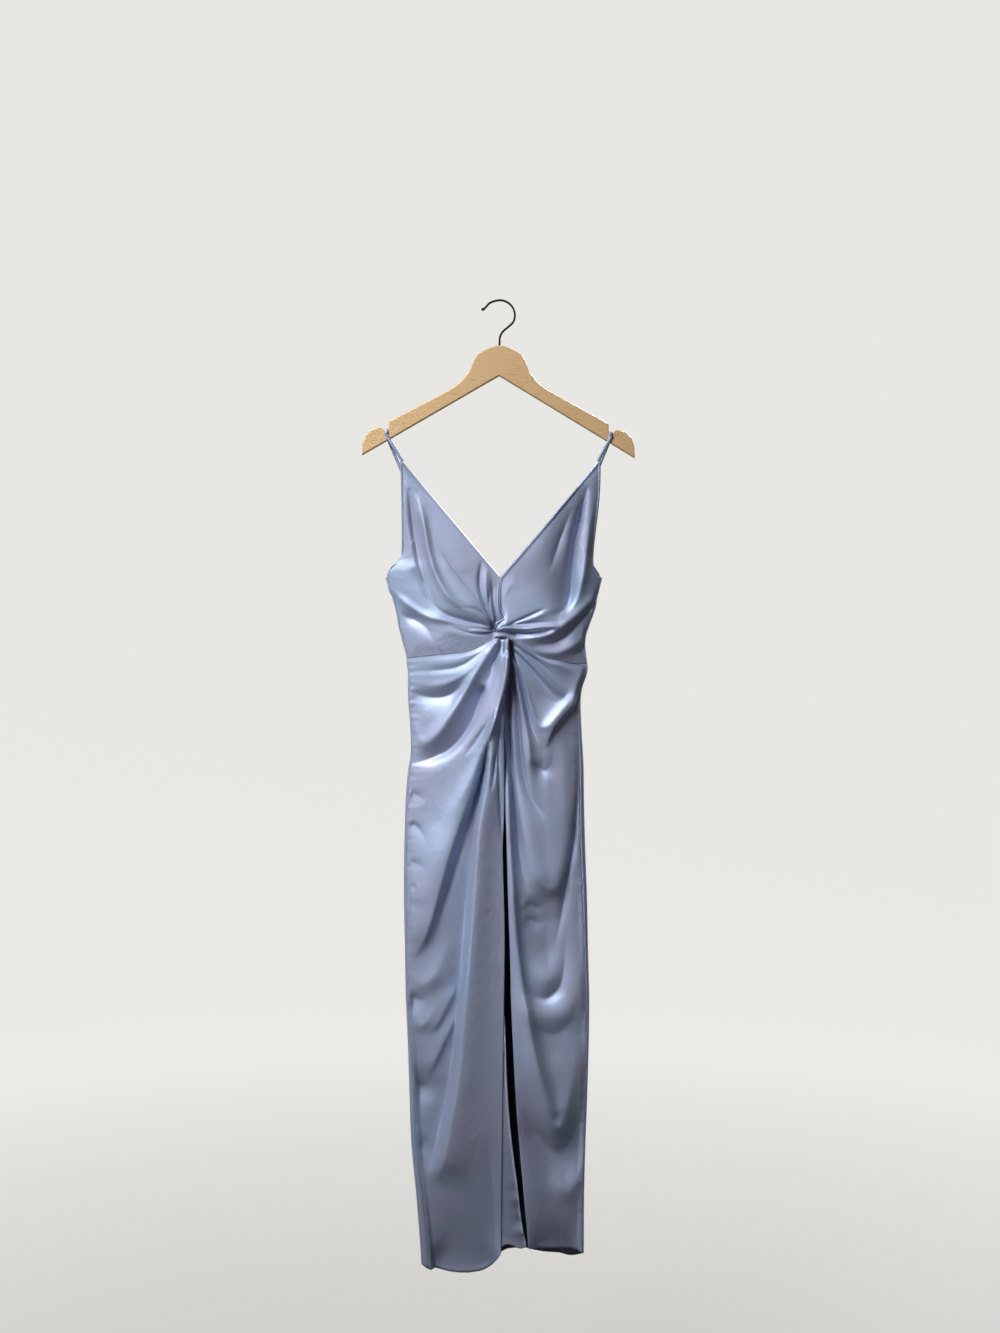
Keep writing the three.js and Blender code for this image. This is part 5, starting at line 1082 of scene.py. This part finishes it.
def strap(name, side, front_x, node):
    """A flat tube on a smooth line: up from the cup, over the notch with round corners, down to the back."""
    notch_x = side * NOTCH_X * np.cos(HANGER_TILT) + NOTCH_Z * np.sin(HANGER_TILT)
    notch_z = NOTCH_Z * np.cos(HANGER_TILT) - side * NOTCH_X * np.sin(HANGER_TILT)
    over = SEAM_GAP + STRAP_THICK / 2
    leg = WOOD_THICK / 2 + over
    foot = notch_z - STRAP_STRAIGHT
    front_z = STRAP_POINT_Z + SEAM_GAP
    back_x = side * STRAP_BACK_X
    back_z = back_top(back_x) + SEAM_GAP
    front_at, back_at = STRAP_POINT_DEPTH - WALL / 2, BACK_DEPTH + WALL / 2
    start, end = np.array((notch_x, -leg, foot)), np.array((back_x, back_at, back_z + STRAP_RISE))
    marks = np.array([
        (front_x, front_at, front_z),
        (front_x, front_at, front_z + STRAP_RISE),
        ((front_x + notch_x) / 2, leg + STRAP_BOW, (front_z + STRAP_RISE + foot) / 2),
        (notch_x, leg, foot),
        (notch_x, leg, notch_z - STRAP_CORNER),
        (notch_x, leg - STRAP_CORNER / 3, notch_z + over - STRAP_CORNER / 4),
        (notch_x, leg - STRAP_CORNER, notch_z + over),
        (notch_x, 0, notch_z + over),
        (notch_x, STRAP_CORNER - leg, notch_z + over),
        (notch_x, STRAP_CORNER / 3 - leg, notch_z + over - STRAP_CORNER / 4),
        (notch_x, -leg, notch_z - STRAP_CORNER),
        *blend(start, end, np.arange(4)[:, None] / 3),
        (back_x, back_at, back_z),
    ]) * (1, -1, 1)
    line = smooth_line(marks, 300)
    made = tube(name, line, np.array((1.0, 0.0, 0.0)), (STRAP_WIDE / 2, STRAP_THICK / 2), STRAP_SIDES)
    length = np.linalg.norm(np.diff(line, axis=0), axis=1).sum()
    made.data.materials.append(satin_face)
    ring, spot = np.divmod(np.arange(len(made.data.vertices)), STRAP_SIDES)
    map_cut(made, np.stack((spot * STRAP_WIDE * 2 / STRAP_SIDES, ring * length / len(line)), axis=-1))
    thick = made.modifiers.new("cloth", "SOLIDIFY")
    thick.thickness = STRAP_CLOTH
    thick.offset = -1
    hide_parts(node)
    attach(made, "root")
    return made


left_strap = strap("left_strap", -1, -0.16075, "strap_left")
right_strap = strap("right_strap", 1, 0.16125, "strap_right")

# The hanger is one flat bow of beech with rounded edges, cut from a plank along its grain and lacquered.
beech = bpy.data.materials.new("beech")
beech.use_nodes = True
wood = beech.node_tree.nodes["Principled BSDF"]
wood_place = add_node(beech, "TexCoord").outputs["Object"]
along_grain = add_node(beech, "Mapping", {0: wood_place, 3: (3.0, 60.0, 60.0)})
rings = add_node(beech, "TexNoise", {"Vector": along_grain.outputs[0], "Scale": 3.0, "Detail": 6.0,
                                     "Roughness": 0.6})
flecks_way = add_node(beech, "Mapping", {0: wood_place, 3: (60.0, 900.0, 900.0)})
flecks = add_node(beech, "TexNoise", {"Vector": flecks_way.outputs[0], "Scale": 1.0, "Detail": 2.0})
fleck = add_node(beech, "MapRange", {"Value": flecks.outputs[0], "From Min": 0.62, "From Max": 0.75})
tone = add_node(beech, "Mix", {
    "Factor": rings.outputs[0], 6: (0.80, 0.57, 0.31, 1.0), 7: (0.72, 0.48, 0.24, 1.0)}, data_type="RGBA")
dark = add_node(beech, "Mix", {"Factor": fleck.outputs[0], 6: tone.outputs[2], 7: (0.40, 0.24, 0.11, 1.0)},
                data_type="RGBA")
beech.node_tree.links.new(dark.outputs[2], wood.inputs["Base Color"])
wood.inputs["Roughness"].default_value = 0.42
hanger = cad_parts["hanger_wood"]
hanger.material_slots[0].material = beech

# The hook is steel wire in black lacquer, bent round and finished with a small ball.
lacquer = bpy.data.materials.new("black lacquer")
lacquer.use_nodes = True
black = lacquer.node_tree.nodes["Principled BSDF"]
worn = add_node(lacquer, "TexNoise", {
    "Vector": add_node(lacquer, "TexCoord").outputs["Object"], "Scale": 400.0})
coat = add_node(lacquer, "MapRange", {"Value": worn.outputs[0], "To Min": 0.32, "To Max": 0.5})
lacquer.node_tree.links.new(coat.outputs[0], black.inputs["Roughness"])
black.inputs["Base Color"].default_value = (0.012, 0.012, 0.014, 1.0)
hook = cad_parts["hanger_hook"]
hook.material_slots[0].material = lacquer
